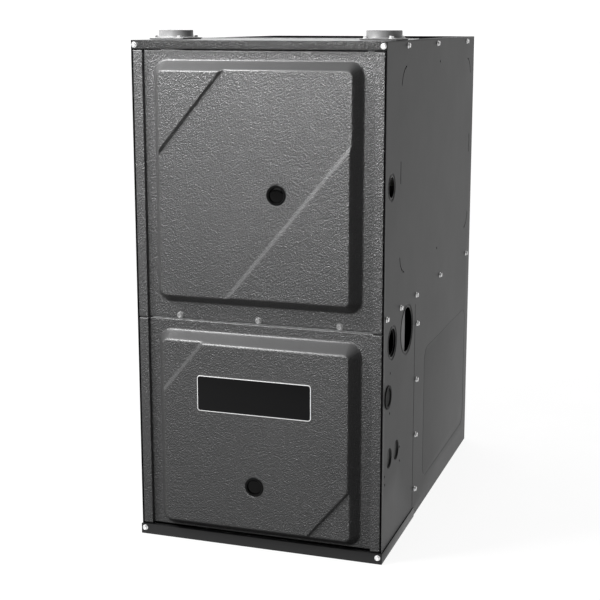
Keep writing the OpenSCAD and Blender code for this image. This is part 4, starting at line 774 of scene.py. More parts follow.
# %% Rail and base
LIP_X = 223.75
build("front_rail_skin", "rail_paint",
      (folded, [(11.7, RAIL_Z), (0, RAIL_Z), (0, CASE_H)], -220.7, 220.7, -SHEET, 1.8),
      stands_for=["front_rail"], slot="door_paint")
build("base_tray", "base_black",
      (block, (-LIP_X, -2.0, 0), (LIP_X, -0.8, 19), 0.35),
      (block, (-LIP_X + 1.3, -1.4, 17.8), (LIP_X - 1.3, 7.0, 19), 0.35),
      *((block, (x, -2.0, 0), (x + SHEET, 230, 18), 0.35) for x in (-LIP_X, LIP_X - SHEET)),
      (block, (-222.5, -1.0, 0), (222.5, 230, 1.2), 0.2),
      (block, (-222.2, 229, 0), (222.2, 711.2, 1.2), 0.2), stands_for=["base_pan"])

# %% Collars
SPIGOT = [(26.3, -21), (26.3, 14.2), (27.0, 15.0), (29.4, 15.0), (30.15, 14.3), (30.15, 4.2), (30.6, 3.0),
          (31.6, 2.3), (33.4, 2.02), (33.4, 1.6), (27.3, 1.4), (27.3, -20.4), (26.9, -21)]
for side, node in ((-1, "intake_collar"), (1, "flue_collar")):
    x, z = side * COLLAR_X, CASE_H + 1.0
    build(node + "_moulding", "collar_grey", (block, (x - 32, 68, z), (x + 32, 152, z + 2.0), 0.6, 3),
          (tube, SPIGOT, (x, COLLAR_Y, z), "z", 72), stands_for=[node], sharp=40)
build("collar_gasket_sheets", "black_rubber",
      *((block, (x - 30.5, 69.5, CASE_H), (x + 30.5, 150.5, CASE_H + 1.0), 0.3)
        for x in (-COLLAR_X, COLLAR_X)), stands_for=["collar_gaskets"])
print("rail, base and collars made")

# %% [markdown]
# ## Windows and badge
#
# A sight window is a rubber ring snapped into a hole in the door with a dark lens inside it. The
# badge is a plain black plate in a thin silver rim: the photographed lettering is left out on
# purpose, so the plate is bare.

# %% Windows and badge
for name, (x, z), y in (("upper", UPPER_WINDOW, STEP - PROUD), ("lower", LOWER_WINDOW, -PROUD)):
    door, centre = name + "_door", (x, y, z)
    build(name + "_window_grommet", "black_rubber",
          (tube, [(13.15, 5.8), (13.15, -0.3), (13.6, -0.75), (14.4, -0.95), (16.2, -0.85), (16.95, -0.45),
                  (17.0, 0.0), (15.65, 0.1), (15.65, 5.8)], centre, "y", 64),
          body=door, stands_for=[name + "_window_ring"], sharp=50)
    build(name + "_window_glass", "dark_glass",
          (turned, [(13.1, 3.5), (13.1, 1.9), (12.0, 1.5), (8.0, 1.1), (0.0, 0.9)], centre, "y", 64),
          body=door, stands_for=[name + "_window_lens"], sharp=50)

BADGE = rounded_box(-103, 247, 103, 310, 5.5)
for name, material, rings in (
        ("badge_rim", "screw_zinc", ((0, -18.9), (0, -20.4), (-0.3, -20.7), (-1.1, -20.7), (-1.3, -20.45),
                                     (-1.3, -20.0))),
        ("badge_face", "badge_black", ((-1.25, -19.2), (-1.25, -20.2), (-1.6, -20.3)))):
    bm = bmesh.new()
    rings = [[bm.verts.new(at(x, depth, z)) for x, z in BADGE(grow)] for grow, depth in rings]
    join(bm, rings)
    if name == "badge_face":  # the rim stays open, the face is closed
        bm.faces.new(rings[-1])
    piece(name, bm, material, "lower_door", ["badge_plate"], sharp=40)
print("badge and windows made")

# %% [markdown]
# ## Pieces that keep their CAD shape
#
# Many inner parts are simple folded or turned shapes that the CAD model already gives exactly. They
# keep that shape. Real sheet and moulded parts have no knife edges, so each gets a small rounding:
# its loose triangles are first welded, and then every sharp edge is bevelled by a modifier.

# %% Rounded edges on the CAD nodes
# The junction box takes the base's black instead of its own finish. This is a painted shade: the box fills
# half of the side's large hole, and this way the hole reads dark.
nodes["junction_box"].data.materials[0] = M["base_black"]  # given the base's black as painted shade, so that the side's large hole reads dark
ROUNDED = ("back_panel", "top_plate", "inner_panel", "blower_deck", "burner_box", "burner_cover",
           "collector_box", "inducer_housing", "gas_valve", "junction_box", "condensate_trap",
           "control_bracket", "door_switch", "switch_bracket", "blower_housing", "motor_bracket",
           "blower_rails", "rear_header")
for name in ROUNDED:
    weld = nodes[name].modifiers.new("weld", "WELD")
    weld.merge_threshold = 0.01 * MM
    edge = nodes[name].modifiers.new("edge", "BEVEL")
    edge.width = 0.5 * MM
    edge.segments = 2
    edge.limit_method = "ANGLE"
    edge.angle_limit = math.radians(38)
    edge.use_clamp_overlap = True
    edge.harden_normals = True
print("rounded CAD nodes:", len(ROUNDED))

# %% [markdown]
# ## Small fixings
#
# Sheet metal inside a cabinet is held by the same hexagonal screws, only smaller. The rear sheet has
# a column of them down each side, the burner cover is held at its rim, and the control bracket at
# its ends. `fixings` makes one piece of such a set. `around` is one more tool for what follows: it
# sets blocks round an axis, as the ribs of a motor are set.

# %% Fixings on sheet metal
COVER_Y, PANEL_Y = 78.5, 220  # front faces of the burner cover and of the inner panel


def fixings(name, points, axis=FORWARD, size=0.7):
    """Small screws at points, their heads looking along axis."""
    screws = ((screw, point, axis, size, 18) for point in points)
    return build(name, "screw_dull", *screws, sharp=28, slot="screw_zinc")


def around(bm, centre, axis, count, radius, half, bevel=0.3, start=0.0):
    """Blocks set round an axis; half holds half their size outwards, sideways and along it."""
    for k in range(count):
        verts = bmesh.ops.create_cube(bm, size=2)["verts"]
        bmesh.ops.scale(bm, vec=Vector(half) * MM, verts=verts)
        bmesh.ops.translate(bm, vec=(radius * MM, 0, 0), verts=verts)
        turn = AXES[axis] @ Matrix.Rotation(start + 2 * math.pi * k / count, 3, "Z")
        bmesh.ops.rotate(bm, verts=verts, cent=(0, 0, 0), matrix=turn)
        bmesh.ops.translate(bm, vec=at(*centre), verts=verts)
        soften(bm, verts, bevel)


rear_spots = [(s * 213.5, CASE_D, z) for s in (-1, 1) for z in (32, 190, 348, 506, 664, 822)]
rear_spots += [(x, CASE_D, z) for x in (-120, 0, 120) for z in (14, 866)]
fixings("rear_sheet_screws", rear_spots, BACKWARD, 0.85)
fixings("inner_panel_screws", [(s * 212, PANEL_Y, z) for s in (-1, 1) for z in (470, 560, 650, 850)])
fixings("burner_cover_screws", [(x, COVER_Y, z) for x in (-150, -54, 54, 150) for z in (745.6, 848)],
        size=0.55)
fixings("control_bracket_screws", [(s * 158, 70, z) for s in (-1, 1) for z in (24, 120, 196)])
fixings("deck_screws", [(s * 205, y, DECK_Z) for s in (-1, 1) for y in (60, 190, 400, 640)], UP)
print("rear sheet screws:", len(rear_spots))

# %% [markdown]
# ## Burners and manifold
#
# Gas comes up from the valve into a black pipe that lies across the burner cover, and leaves it
# through one brass orifice in front of each burner. The pipe's ends are closed by hexagonal caps,
# and two union nuts sit on the riser. A round sight glass lets a fitter see the flames. Each
# rollout switch is a thermal disc with two tabs, and a red button in its middle.

# %% Burner front
BURNER_X, BURNER_Z, PIPE_Y = (-108, -36, 36, 108), 800.3, 60
SIGHT = (72, COVER_Y, 768)
build("manifold_fittings", "pipe_black",
      *((turned, [(0, s * 144.2), (12.5, s * 144.2), (16.4, s * 142.5), (16.4, s * 131), (15, s * 130),
                  (13.5, s * 130)], (0, PIPE_Y, BURNER_Z), "x", 48, hexagon) for s in (-1, 1)),
      *((tube, [(10.8, top), (16, top), (17.5, top - 1.5), (17.5, low + 1.5), (16, low), (10.8, low)],
         (0, PIPE_Y, 0), "z", 48, hexagon) for top, low in ((786, 770), (690, 676))),
      *((turned, [(9.2, 13), (12.0, 13), (12.6, 13.6), (12.6, 15.0), (12.0, 15.6), (7.2, 15.6)],
         (x, PIPE_Y, BURNER_Z), "y") for x in BURNER_X), sharp=40)
ORIFICE = [(4.0, 15.4), (7.3, 15.4), (8.0, 16.2), (8.0, 22.4), (7.2, 23.4), (5.4, 23.6), (4.2, 24.4),
           (4.2, 37.0), (3.4, 37.8), (1.4, 37.8), (1.0, 36.0), (0, 36.0)]
build("burner_orifice_spuds", "brass", *((turned, ORIFICE, (x, PIPE_Y, BURNER_Z), "y", 24) for x in BURNER_X),
      stands_for=["burner_orifices"], sharp=40)
build("sight_glass_ring", "brass",
      (tube, [(6.5, 0), (12.5, 0), (12.5, -1.6), (11.8, -2.4), (8.2, -2.4), (7.4, -1.6), (6.5, -1.2)],
       SIGHT, "y", 40), sharp=40)
build("sight_glass", "dark_glass", (turned, [(7.3, 0), (7.3, -1.0), (5.0, -1.5), (0, -1.7)], SIGHT, "y", 40),
      sharp=60)
print("orifices:", len(BURNER_X))

# %% Rollout switches
ROLLOUT_X, ROLLOUT_Z = 132, 828.3
bm = bmesh.new()
for s in (-1, 1):
    x = s * ROLLOUT_X
    tube(bm, [(3.1, -8.0), (8.6, -8.0), (9.6, -7.2), (10.0, -6.0), (10.0, -1.6), (9.2, -1.0), (3.1, -1.0)],
         (x, COVER_Y, ROLLOUT_Z), "y", 40)
    block(bm, (x - 16, 77.0, ROLLOUT_Z - 4), (x + 16, 78.4, ROLLOUT_Z + 4), 0.6)
    for dx in (-12.6, 12.6):
        turned(bm, [(2.6, -1.5), (2.6, -2.6), (1.9, -3.2), (0, -3.3)], (x + dx, COVER_Y, ROLLOUT_Z), "y", 20)
piece("rollout_switch_discs", bm, "black_plastic", stands_for=["rollout_switches"])
build("rollout_switch_tabs", "brass",
      *((block, (x - 2.6, 64.0, z - 0.4), (x + 2.6, 71.5, z + 0.4), 0.15)
        for x in (-ROLLOUT_X, ROLLOUT_X) for z in (ROLLOUT_Z - 6.2, ROLLOUT_Z + 6.2)))
for s, word in ((-1, "left"), (1, "right")):
    build("reset_cap_" + word, "red_plastic",
          (turned, [(0, 0.3), (1.2, 0.25), (1.9, 0), (2.3, 0.1), (2.5, 0.5), (2.5, 6.8), (2.3, 7.0),
                    (0, 7.0)], (s * ROLLOUT_X, 68, ROLLOUT_Z), "y", 32),
          body="reset_button_" + word, stands_for=["reset_button_" + word], sharp=40)
print("rollout switches made")

# %% [markdown]
# ## The gas valve
#
# The valve is a zinc casting with six screws, a hexagonal regulator cap, two pressure taps and a
# grey solenoid with tabs for its wires. Its blue knob turns a quarter: a disc with a knurled rim,
# a grip bar across it and a white pointer at one end of the bar.

# %% Gas valve
VALVE_Y, VALVE_Z = 18, 640
build("gas_valve_fittings", "brass",
      (turned, [(6.6, 0.5), (8.0, -0.4), (8.0, -3.4), (7.0, -4.4), (3.2, -4.4), (2.4, -3.4), (0, -3.4)],
       (30, 18.6, 648), "y", 36, hexagon),
      *((turned, [(4.4, 0), (4.4, -2.4), (3.8, -3.0), (1.6, -3.0), (1.4, -2.2), (0, -2.2)],
         (x, VALVE_Y, z), "y", 24, hexagon) for x, z in ((-40, 655), (42, 626))),
      (tube, [(10.9, 0), (17.0, 0), (17.0, 12), (15.6, 13.4), (10.9, 13.4)], (54, 40, VALVE_Z), "x", 48,
       hexagon), sharp=40)
build("gas_valve_solenoid", "grey_plastic",
      (block, (-50, 10.0, 618), (-24, 18.6, 644), 1.2, 3), (block, (-46, 7.6, 622), (-28, 10.4, 640), 0.8, 2))
build("gas_valve_tabs", "brass",
      *((block, (x - 0.4, 2.6, 628), (x + 0.4, 8.2, 634), 0.15) for x in (-43, -37, -31)))
fixings("gas_valve_screws", [(x, VALVE_Y, z) for x in (-18, 18, 46) for z in (621, 661)], size=0.5)
build("gas_knob_grip", "blue_plastic",
      (turned, [(0, -2.5), (9.4, -2.5), (10.4, -2.2), (11.2, -1.5), (11.9, -1.0), (11.9, -0.3), (11.4, 0),
                (4, 0), (4, 10.6), (3.5, 11), (0, 11)],
       (0, 18.7, VALVE_Z), "y", 96, lambda a: 1 + 0.012 * math.cos(24 * a)),
      (block, (-11, 14.5, 637.4), (11, 17.4, 642.6), 1.3, 3),
      body="gas_knob", stands_for=["gas_knob"], sharp=40)
build("gas_knob_pointer", "white_plastic", (block, (6.2, 14.3, 639.4), (10.2, 15.0, 640.6), 0.25),
      body="gas_knob")
print("gas valve made")

# %% [markdown]
# ## The draught inducer
#
# The inducer is a moulded snail that sucks the flue gas through the exchanger. Ribs stiffen its
# front, clips hold its rim, and its motor stands in front: a stack of steel plates with a winding,
# a bearing bridge and a small fan that cools it. Steel clamps hold the couplings of the vent pipe
# and of the intake pipe.

# %% Inducer
INDUCER = (131.5, 81, 530)
MOTOR_X, MOTOR_Z = INDUCER[0], INDUCER[2]
build("inducer_front_ribs", "black_plastic",
      (around, (MOTOR_X, 79.8, MOTOR_Z), "y", 12, 63, (17.5, 1.0, 1.8), 0.4),
      (tube, [(79.0, -0.2), (79.0, -2.0), (80.0, -2.8), (83.4, -2.8), (84.6, -1.8), (84.6, -0.2)],
       INDUCER, "y", 96),
      (around, (MOTOR_X, 137, MOTOR_Z), "y", 8, 84.6, (2.0, 6.0, 3.2), 0.6, math.radians(22.5)))
build("inducer_motor_frame", "cast_metal",
      (tube, [(5.0, 0), (46.5, 0), (48.0, -1.2), (48.0, -5.0), (46.8, -6.0), (31.4, -6.4), (31.0, -8.0),
              (31.0, -18), (29.4, -19.4), (5.0, -19.6)], INDUCER, "y", 64),
      (tube, [(5.0, -49.0), (14.0, -50.6), (16.0, -52.0), (16.0, -53.4), (5.0, -54.6)], INDUCER, "y", 48),
      *((block, (x - 5, 30.6, 525), (x + 5, 33.6, 535), 0.8) for x in (MOTOR_X - 30, MOTOR_X + 30)),
      (block, (MOTOR_X - 34, 28.6, 524), (MOTOR_X + 34, 31.2, 536), 0.9),
      stands_for=["inducer_motor"], sharp=40)
build("inducer_motor_plates", "transformer_steel",
      *((block, (MOTOR_X - 38, 34.2 + i * 2.0, 496), (MOTOR_X + 38, 35.9 + i * 2.0, 564), 0.2, 1)
        for i in range(11)), stands_for=["inducer_motor"])
build("inducer_motor_winding", "brass",
      *((block, (MOTOR_X - 25, y0, z - 8), (MOTOR_X + 25, y1, z + 8), 1.9, 4)
        for z in (501, 559) for y0, y1 in ((30.2, 34.2), (56.2, 60.4))), stands_for=["inducer_motor"])
FAN_BLADES, VANES = 8, 24  # of the cooling fan and of the inducer's wheel
bm = bmesh.new()
for k in range(FAN_BLADES):
    round_hub = Matrix.Rotation(2 * math.pi * k / FAN_BLADES, 3, "Y")
    out = round_hub @ Vector((14.5, 0, 0))
    cx, cz = MOTOR_X + out.x, MOTOR_Z + out.z
    block(bm, (cx - 7.2, 25.0, cz - 4.2), (cx + 7.2, 25.8, cz + 4.2), 0.3, 1,
          round_hub @ Matrix.Rotation(math.radians(35), 3, "X"))
turned(bm, [(0, -57.9), (6.6, -57.9), (7.4, -57.0), (7.4, -53.4), (6.6, -52.6), (0, -52.6)], INDUCER, "y", 32)
piece("inducer_cooling_fan", bm, "grey_plastic", "inducer_wheel")
print("inducer made")

# %% Inducer wheel and pipe clamps
bm = bmesh.new()
tube(bm, [(4.2, 0), (64.2, 0), (65.0, 0.6), (65.0, 1.4), (64.2, 2.0), (13.0, 2.0), (12.0, 3.0), (12.0, 13.2),
          (11.0, 14.0), (4.2, 14.0)], (MOTOR_X, 93, MOTOR_Z), "y", 72)
for k in range(VANES):
    rows = [[], []]
    for i in range(5):
        r, a = 34 + 30 * i / 4, 2 * math.pi * k / VANES - 0.16 * (i / 4) ** 2
        for row, y in zip(rows, (94.6, 115.0)):
            row.append(bm.verts.new(at(MOTOR_X + r * math.cos(a), y, MOTOR_Z + r * math.sin(a))))
    for i in range(4):
        front = bm.faces.new((rows[0][i], rows[0][i + 1], rows[1][i + 1], rows[1][i]))
        bmesh.ops.solidify(bm, geom=[front], thickness=0.9 * MM)
turned(bm, [(0, -20), (4.0, -20), (4.0, 26.2), (3.4, 26.8), (0, 26.8)], INDUCER, "y", 32)
piece("inducer_fan_wheel", bm, "bright_shaft", "inducer_wheel", ["inducer_wheel"], sharp=40,
      slot="bare_steel")
bm = bmesh.new()
for x, y, z, r in ((COLLAR_X, 74.4, 632, 31.9), (COLLAR_X, 74.4, 668, 31.9), (-COLLAR_X, 76.0, 852, 30.6)):
    tube(bm, [(r, -4.6), (r + 0.8, -4.6), (r + 0.8, 4.6), (r, 4.6)], (x, COLLAR_Y, z), "z", 64)
    block(bm, (x - 7, y, z - 4.2), (x + 7, y + 4.2, z + 4.2), 0.8)
piece("pipe_clamp_bands", bm, "screw_dull", slot="screw_zinc")
print("inducer wheel and clamps made")

# %% [markdown]
# ## Pressure switch, trap and collector
#
# The pressure switch is a round box crimped at its rim, with two tabs. The condensate trap is a
# white moulded tank with stiffening ribs. The collector box in front of the coil is black plastic,
# held to the inner panel by a column of screws through its flange.

# %% Small moulded parts
PRESSURE_X = -120
HOSE = (-189, 85)
build("pressure_switch_rim", "screw_dull",
      (turned, [(34.8, -26.4), (35.6, -25.6), (35.6, -22.6), (35.0, -21.8), (35.0, -16.2), (35.6, -15.4),
                (35.6, -13.4), (34.6, -12.8)], (PRESSURE_X, PANEL_Y, 640), "y", 72),
      (around, (PRESSURE_X, 194.4, 640), "y", 24, 33.2, (1.9, 1.5, 0.7), 0.3), slot="screw_zinc")
build("pressure_switch_tabs", "brass",
      *((block, (x - 2.6, 171.5, 636), (x + 2.6, 178.6, 636.8), 0.15)
        for x in (PRESSURE_X - 7, PRESSURE_X + 7)))
build("trap_ribs", "white_plastic",
      *((block, (-213.4, 50.6, z - 1.2), (-165.2, 119.4, z + 1.2), 0.5) for z in (232, 258, 284, 310)),
      *((block, (-167.4, y - 1.2, 212), (-164.8, y + 1.2, 332), 0.5) for y in (66, 85, 104)))
build("drain_hose_clamps", "black_rubber",
      (tube, [(7.1, 0), (8.6, 0), (8.9, 0.6), (8.9, 7.4), (8.6, 8), (7.1, 8)], (*HOSE, 356), "z", 40),
      (block, (-192.5, 73.4, 357), (-185.5, 77.2, 363), 0.6),
      (tube, [(9.6, 0), (13.6, 0), (14.2, 0.8), (14.2, 2.4), (13.2, 3.2), (9.6, 3.2)], (*HOSE, DECK_Z),
       "z", 40))
build("collector_ribs", "black_plastic",
      *((block, (22, 140.2, z - 0.8), (46, 141.4, z + 0.8), 0.3, 1)
        for z in (466 + k * 12.5 for k in range(9))),
      *((block, (-150, 208, z - 1), (150, 218.4, z + 1), 0.6) for z in (456.4, 576.4)))
fixings("collector_screws", [(-146, 208, z) for z in (470, 510, 550)], size=0.6)
print("moulded parts made")

# %% [markdown]
# ## The control board
#
# Behind the lower sight window sits the board: green, with relays, a big capacitor, a processor,
# screw terminals and push-on tabs. The lamp that a fitter reads through the window is in line
# with it. Each resistor is a short ceramic bar, and its lead is bent to the board at both ends.

# %% Control board
BOARD = 55.0
bm = bmesh.new()
for x in (-100, -74, -48, -22):
    block(bm, (x, BOARD - 17, 152.5), (x + 20, BOARD, 180.5), 0.9, 3)
    block(bm, (x + 3, BOARD - 17.4, 156), (x + 17, BOARD - 16.8, 177), 0.2)
for x, z, w, h, rise in ((-60, 98.5, 30, 30, 5.8), (12, 132, 16, 8, 3.4), (34, 132, 16, 8, 3.4),
                         (-20, 84, 10, 20, 3.4)):
    block(bm, (x, BOARD - rise, z), (x + w, BOARD, z + h), 0.35)
turned(bm, [(0, -20.6), (7, -20.9), (9.6, -21.6), (10.6, -21.6), (11, -21), (11, -3.4), (10.3, -2.7),
            (10.3, -2.0), (11, -1.4), (11, 0), (0, 0)], (40, BOARD, 162.5), "y", 48)
piece("board_black_parts", bm, "black_plastic", stands_for=["board_relays"])
build("board_metal_parts", "brass",
      *((block, (x, BOARD - 1.4, z), (x + 1.2, BOARD, z + 0.9), 0, 1)
        for x in (-61.2, -29.9) for z in (100 + i * 2.0 for i in range(14))),
      *((block, (x, BOARD - 1.6, z), (x + 0.8, BOARD, z + 1.0), 0, 1)
        for x0 in (13.2, 35.2) for x in (x0 + i * 2.1 for i in range(7)) for z in (131, 140)),
      *((turned, [(0, -12.6), (1.2, -12.6), (3.4, -12.9), (3.7, -12.4), (3.7, -11.8)],
         (-105 + i * 10, BOARD, 64.5), "y", 20) for i in range(8)),
      *((block, (-115, BOARD - 19, z), (-107, BOARD - 11.5, z + 0.9), 0.15)
        for z in (93.5 + i * 8 for i in range(6))),
      *((block, (4.2 + i * 6, BOARD - 13.0, 62.0), (6.0 + i * 6, BOARD - 7, 66.5), 0.1, 1) for i in range(9)))
build("board_terminal_blocks", "grey_plastic",
      (block, (-110, BOARD - 11.6, 56.5), (-30, BOARD, 72.5), 0.7),
      *((block, (-110.6 + i * 10, BOARD - 13.6, 56.0), (-109.4 + i * 10, BOARD - 1, 73.0), 0.25, 1)
        for i in range(9)),
      *((block, (x0, BOARD - rise, z0), (x1, BOARD, z1), 0.5) for x0, z0, x1, z1, rise in (
          (0, 56.5, 60, 58.3, 14), (0, 70.7, 60, 72.5, 14), (0, 56.5, 1.8, 72.5, 14),
          (58.2, 56.5, 60, 72.5, 14), (0, 56.5, 60, 72.5, 6), (-118, 88.5, -104, 140.5, 12))),
      stands_for=["board_terminals"])
bm = bmesh.new()
y = BOARD - 1.4  # the leads stand off the board by this much
for x, z in ((-84, 132), (-84, 126), (-84, 120), (-84, 114), (-10, 112), (-10, 104), (22, 118), (22, 111),
             (22, 104), (46, 118), (46, 111), (52, 96), (40, 88), (14, 88)):
    swept(bm, [(x - 3.4, y, z), (x + 3.4, y, z)], 1.25, 1, 12)
    swept(bm, [(x - 5.4, BOARD + 0.2, z), (x - 5.4, y, z), (x + 5.4, y, z), (x + 5.4, BOARD + 0.2, z)],
          0.32, 0.5, 6)
piece("board_resistors", bm, "ceramic")
build("board_status_lamp", "red_plastic",
      (turned, [(0, -8), (1.6, -7.6), (2.7, -6.4), (3.0, -5), (3.0, -1.4), (3.5, -1.2), (3.5, 0), (0, 0)],
       (LOWER_WINDOW[0], BOARD, LOWER_WINDOW[1]), "y", 32),
      (block, (-2, BOARD - 9, 146.0), (8, BOARD, 150.5), 0.5))
print("control board made")

# %% [markdown]
# ## Transformer, switch and wires
#
# The transformer is a stack of steel plates round a wound bobbin, on a foot plate. The door switch
# cuts the power when the lower door is off, so its plunger stands just behind that door. Four
# wires run from the board's terminals over two clips to the side, up through a rubber grommet in
# the blower deck, and forward to the tabs of the gas valve.

# %% Transformer
build("transformer_plates", "transformer_steel", (block, (84, 68.0, 44), (150, 70, 118), 0.4),
      *((block, (90, y, 52), (144, y + 2.0, 110), 0.25, 1) for y in (36.4 + i * 2.4 for i in range(13))),
      stands_for=["transformer"])
build("transformer_winding", "ceramic", (block, (99, 26.5, 65), (135, 36.8, 97), 2.6, 4),
      (block, (99, 66.0, 65), (135, 68.2, 97), 0.6, 2), stands_for=["transformer"])
build("transformer_bobbin", "black_plastic", (block, (97, 34.4, 63), (137, 36.6, 99), 0.5),
      (block, (97, 24.2, 94), (137, 33, 100), 0.6), stands_for=["transformer"])
build("transformer_tabs", "brass",
      *((block, (x - 2.4, 27.4, 99.4), (x + 2.4, 28.2, 107), 0.15) for x in (103, 112, 122, 131)))
fixings("transformer_screws", [(x, 68, z) for x in (87.6, 146.4) for z in (48, 114)], size=0.55)

# %% Door switch
SWITCH_X, SWITCH_Z = -188, 372
build("switch_plunger_pin", "white_plastic",
      (turned, [(0, -0.2), (1.8, 0), (2.7, 0.5), (3.0, 1.4), (3.0, 16.7), (2.7, 17.0), (0, 17.0)],
       (SWITCH_X, 10.4, SWITCH_Z), "y", 36),
      body="switch_plunger", stands_for=["switch_plunger"], sharp=40, slot="grey_plastic")
build("switch_collar", "black_plastic",
      (tube, [(3.6, 0), (7.6, 0), (8.2, -0.6), (8.2, -0.9), (7.4, -1.1), (3.6, -1.1)],
       (SWITCH_X, 14.6, SWITCH_Z), "y", 40))
build("switch_tabs", "brass", *((block, (SWITCH_X - 3, 50.4, z - 0.4), (SWITCH_X + 3, 58.0, z + 0.4), 0.15)
                                for z in (SWITCH_Z - 8, SWITCH_Z, SWITCH_Z + 8)))
fixings("switch_bracket_screws", [(-185.5, 13.5, z) for z in (354, 420)], size=0.5)
print("transformer and switch made")

# %% Wire looms
for k, word in enumerate(("red", "white", "blue", "black")):
    x = -96 + k * 12
    line = [(x, BOARD - 12.5, 70), (x, BOARD - 13.5, 80), (-132, 56 + k * 2.6, 86 + k * 3),
            (-150, 66.6 - k * 0.2, 100 + k * 2.6), (-150 + k * 3.0, 66.8, 216), (-146 + k * 3.0, 69, 250),
            (-64 + k * 3, 84, 396), (-60 + k * 3, 84, 436), (-60 + k * 3, 84, 470), (-60 + k * 3, 60, 560),
            (-46 + k * 3, 12, 606 - k * 2), (-43 + k * 4, 3.0, 622 - k * 2),
            (-43 + k * 4, 4.0 + k * 0.3, 631)]
    build(word + "_wires", word + "_plastic", (swept, line, 1.15, 14, 12), sharp=60)
GROMMET = [(0, 3.6), (7.4, 3.6), (9.4, 2.6), (9.8, 1.2), (9.4, 0.1), (0, 0.1)]
build("loom_clips", "black_rubber",
      (turned, GROMMET, (-55, 84, DECK_Z), "z", 40),
      (turned, [(r, -SHEET - h) for r, h in GROMMET], (-55, 84, DECK_Z), "z", 40),
      *((block, (-153.5, 64.6, z - 2.5), (-137.5, 70.2, z + 2.5), 0.8) for z in (130, 175)))
print("looms made")

# %% [markdown]
# ## The blower
#
# The blower is a steel scroll with a wheel in it. The wheel's blades lean and curve forwards, which
# a straight slat would not show, so each blade is a bent strip between two rings with rolled rims.
# The motor hangs in the inlet: a ribbed shell between two end bells. Each inlet has a rolled lip.

# %% Blower wheel
BLOWER, BLADES = (0, 455, 218), 36  # the wheel's middle, and how many blades it has
bm = bmesh.new()
for k in range(BLADES):
    turn = Matrix.Rotation(2 * math.pi * k / BLADES, 2)
    line = []
    for t in (i / 5 for i in range(6)):
        reach = 108 * (1 - t) ** 2 + 118 * 2 * t * (1 - t) + 124.2 * t * t
        lean = 1.2 * 2 * t * (1 - t) + 7.2 * t * t
        line.append(turn @ Vector((reach, lean)))
    join(bm, [[bm.verts.new(at(x, BLOWER[1] + p.x, BLOWER[2] + p.y)) for p in line] for x in (-99.8, 99.8)],
         loop=False)
blades = piece("blower_wheel_blades", bm, "bare_steel", "blower_wheel", ["blower_blades"], sharp=60)
thicken(blades, 1.0)
build("blower_wheel_rings", "bare_steel",
      *((tube, [(106.4, low), (106.4, low + 1.6), (126.0, low + 1.6), (126.8, low + 1.2), (127, low + 0.8),
                (126.8, low + 0.3), (126, low)], BLOWER, "x", 96) for low in (-101.5, 99.9)),
      (tube, [(6.45, 0), (6.45, 30), (15, 30), (16, 29), (16, 3), (18, 1.6), (60, 1.6), (66, 4.0), (84, 4.0),
              (90, 1.6), (107.4, 1.6), (107.4, 0), (90, 0), (84, 2.4), (66, 2.4), (60, 0), (18, 0)],
       BLOWER, "x", 96),
      (turned, [(2.6, 15), (2.6, 18.4), (2.0, 19), (0, 19)], (22, *BLOWER[1:]), "z", 20),
      body="blower_wheel", stands_for=["blower_wheel"], sharp=40)
print("blades:", BLADES)

# %% Blower motor and inlet rings
build("blower_motor_shell", "motor_black",
      (tube, [(7, -150), (24, -150), (26, -148.6), (54, -147.4), (60, -144.5), (62, -140), (62, -134),
              (68.6, -134), (68.6, -36), (62, -36), (61.6, -27), (57, -23), (28, -20.8), (26, -20), (7, -20)],
       BLOWER, "x", 72),
      (around, (-85, *BLOWER[1:]), "x", 36, 68.8, (1.2, 1.1, 46), 0.4),
      *((around, (x, *BLOWER[1:]), "x", 12, 41, (9, 2.4, 1.4), 0.5) for x in (-147.0, -23.4)),
      stands_for=["blower_motor"], sharp=40)
fixings("blower_motor_screws",
        [(-147.4, BLOWER[1] + 52 * math.cos(a), BLOWER[2] + 52 * math.sin(a))
         for a in (math.pi / 4 + math.pi * k / 2 for k in range(4))], (-1, 0, 0), 0.6)
build("blower_inlet_lips", "bare_steel",
      *((tube, [(115.6, s * 117.0), (115.8, s * 118.4), (117.0, s * 120.4), (119.6, s * 121.2),
                (122.4, s * 120.2), (123.4, s * 118.2), (121.8, s * 118.0), (118, s * 118.0)],
         BLOWER, "x", 96) for s in (-1, 1)), sharp=40)
fixings("blower_rail_screws", [(s * 138, y, 424.3) for y in (262, 560) for s in (-1, 1)], DOWN, 0.6)
print("blower motor made")

# %% [markdown]
# ## Exchanger and coil
#
# Seen from above, four tubes run to the back and bend down. Each is rolled into the inner panel, so
# a raised ring stands round it there, and a comb keeps the tubes apart near their bends on both
# upper levels. Return bends join the tubes of the finned coil at its sides.

# %% Exchanger rings and combs
LEVELS = (BURNER_Z, 710.3)
EXPANDED = [(22.35, 0), (26.6, 0), (26.9, 0.6), (25.6, 1.4), (23.6, 2.0), (22.35, 2.0)]
bm = bmesh.new()
for x in BURNER_X:
    tube(bm, EXPANDED, (x, 221.3, BURNER_Z), "y", 56)
    tube(bm, [(r, -h) for r, h in EXPANDED], (x, 610.1, 620.3), "y", 56)
    for z in LEVELS:
        tube(bm, [(22.3, -6), (23.0, -6), (23.4, -5), (23.4, 5), (23.0, 6), (22.3, 6)], (x, 585, z), "y", 56)
for z in LEVELS:
    for a, b in zip(BURNER_X, BURNER_X[1:]):
        block(bm, (a + 23, 579, z - 1.2), (b - 23, 591, z + 1.2), 0.4)
piece("exchanger_rings", bm, "tube_steel")
build("coil_return_bends", "brass",
      *((swept, [(s * 161, y, z), (s * 173, y, z), (s * 173, y + 48, z), (s * 161, y + 48, z)], 6.4, 20, 16)
        for s in (-1, 1) for z in (496.8, 535.6) for y in (303, 399, 495)), sharp=60)
fixings("rear_header_screws", [(x, 610, 647.5) for x in (-150, -72, 0, 72, 150)], size=0.6)
print("exchanger details made")

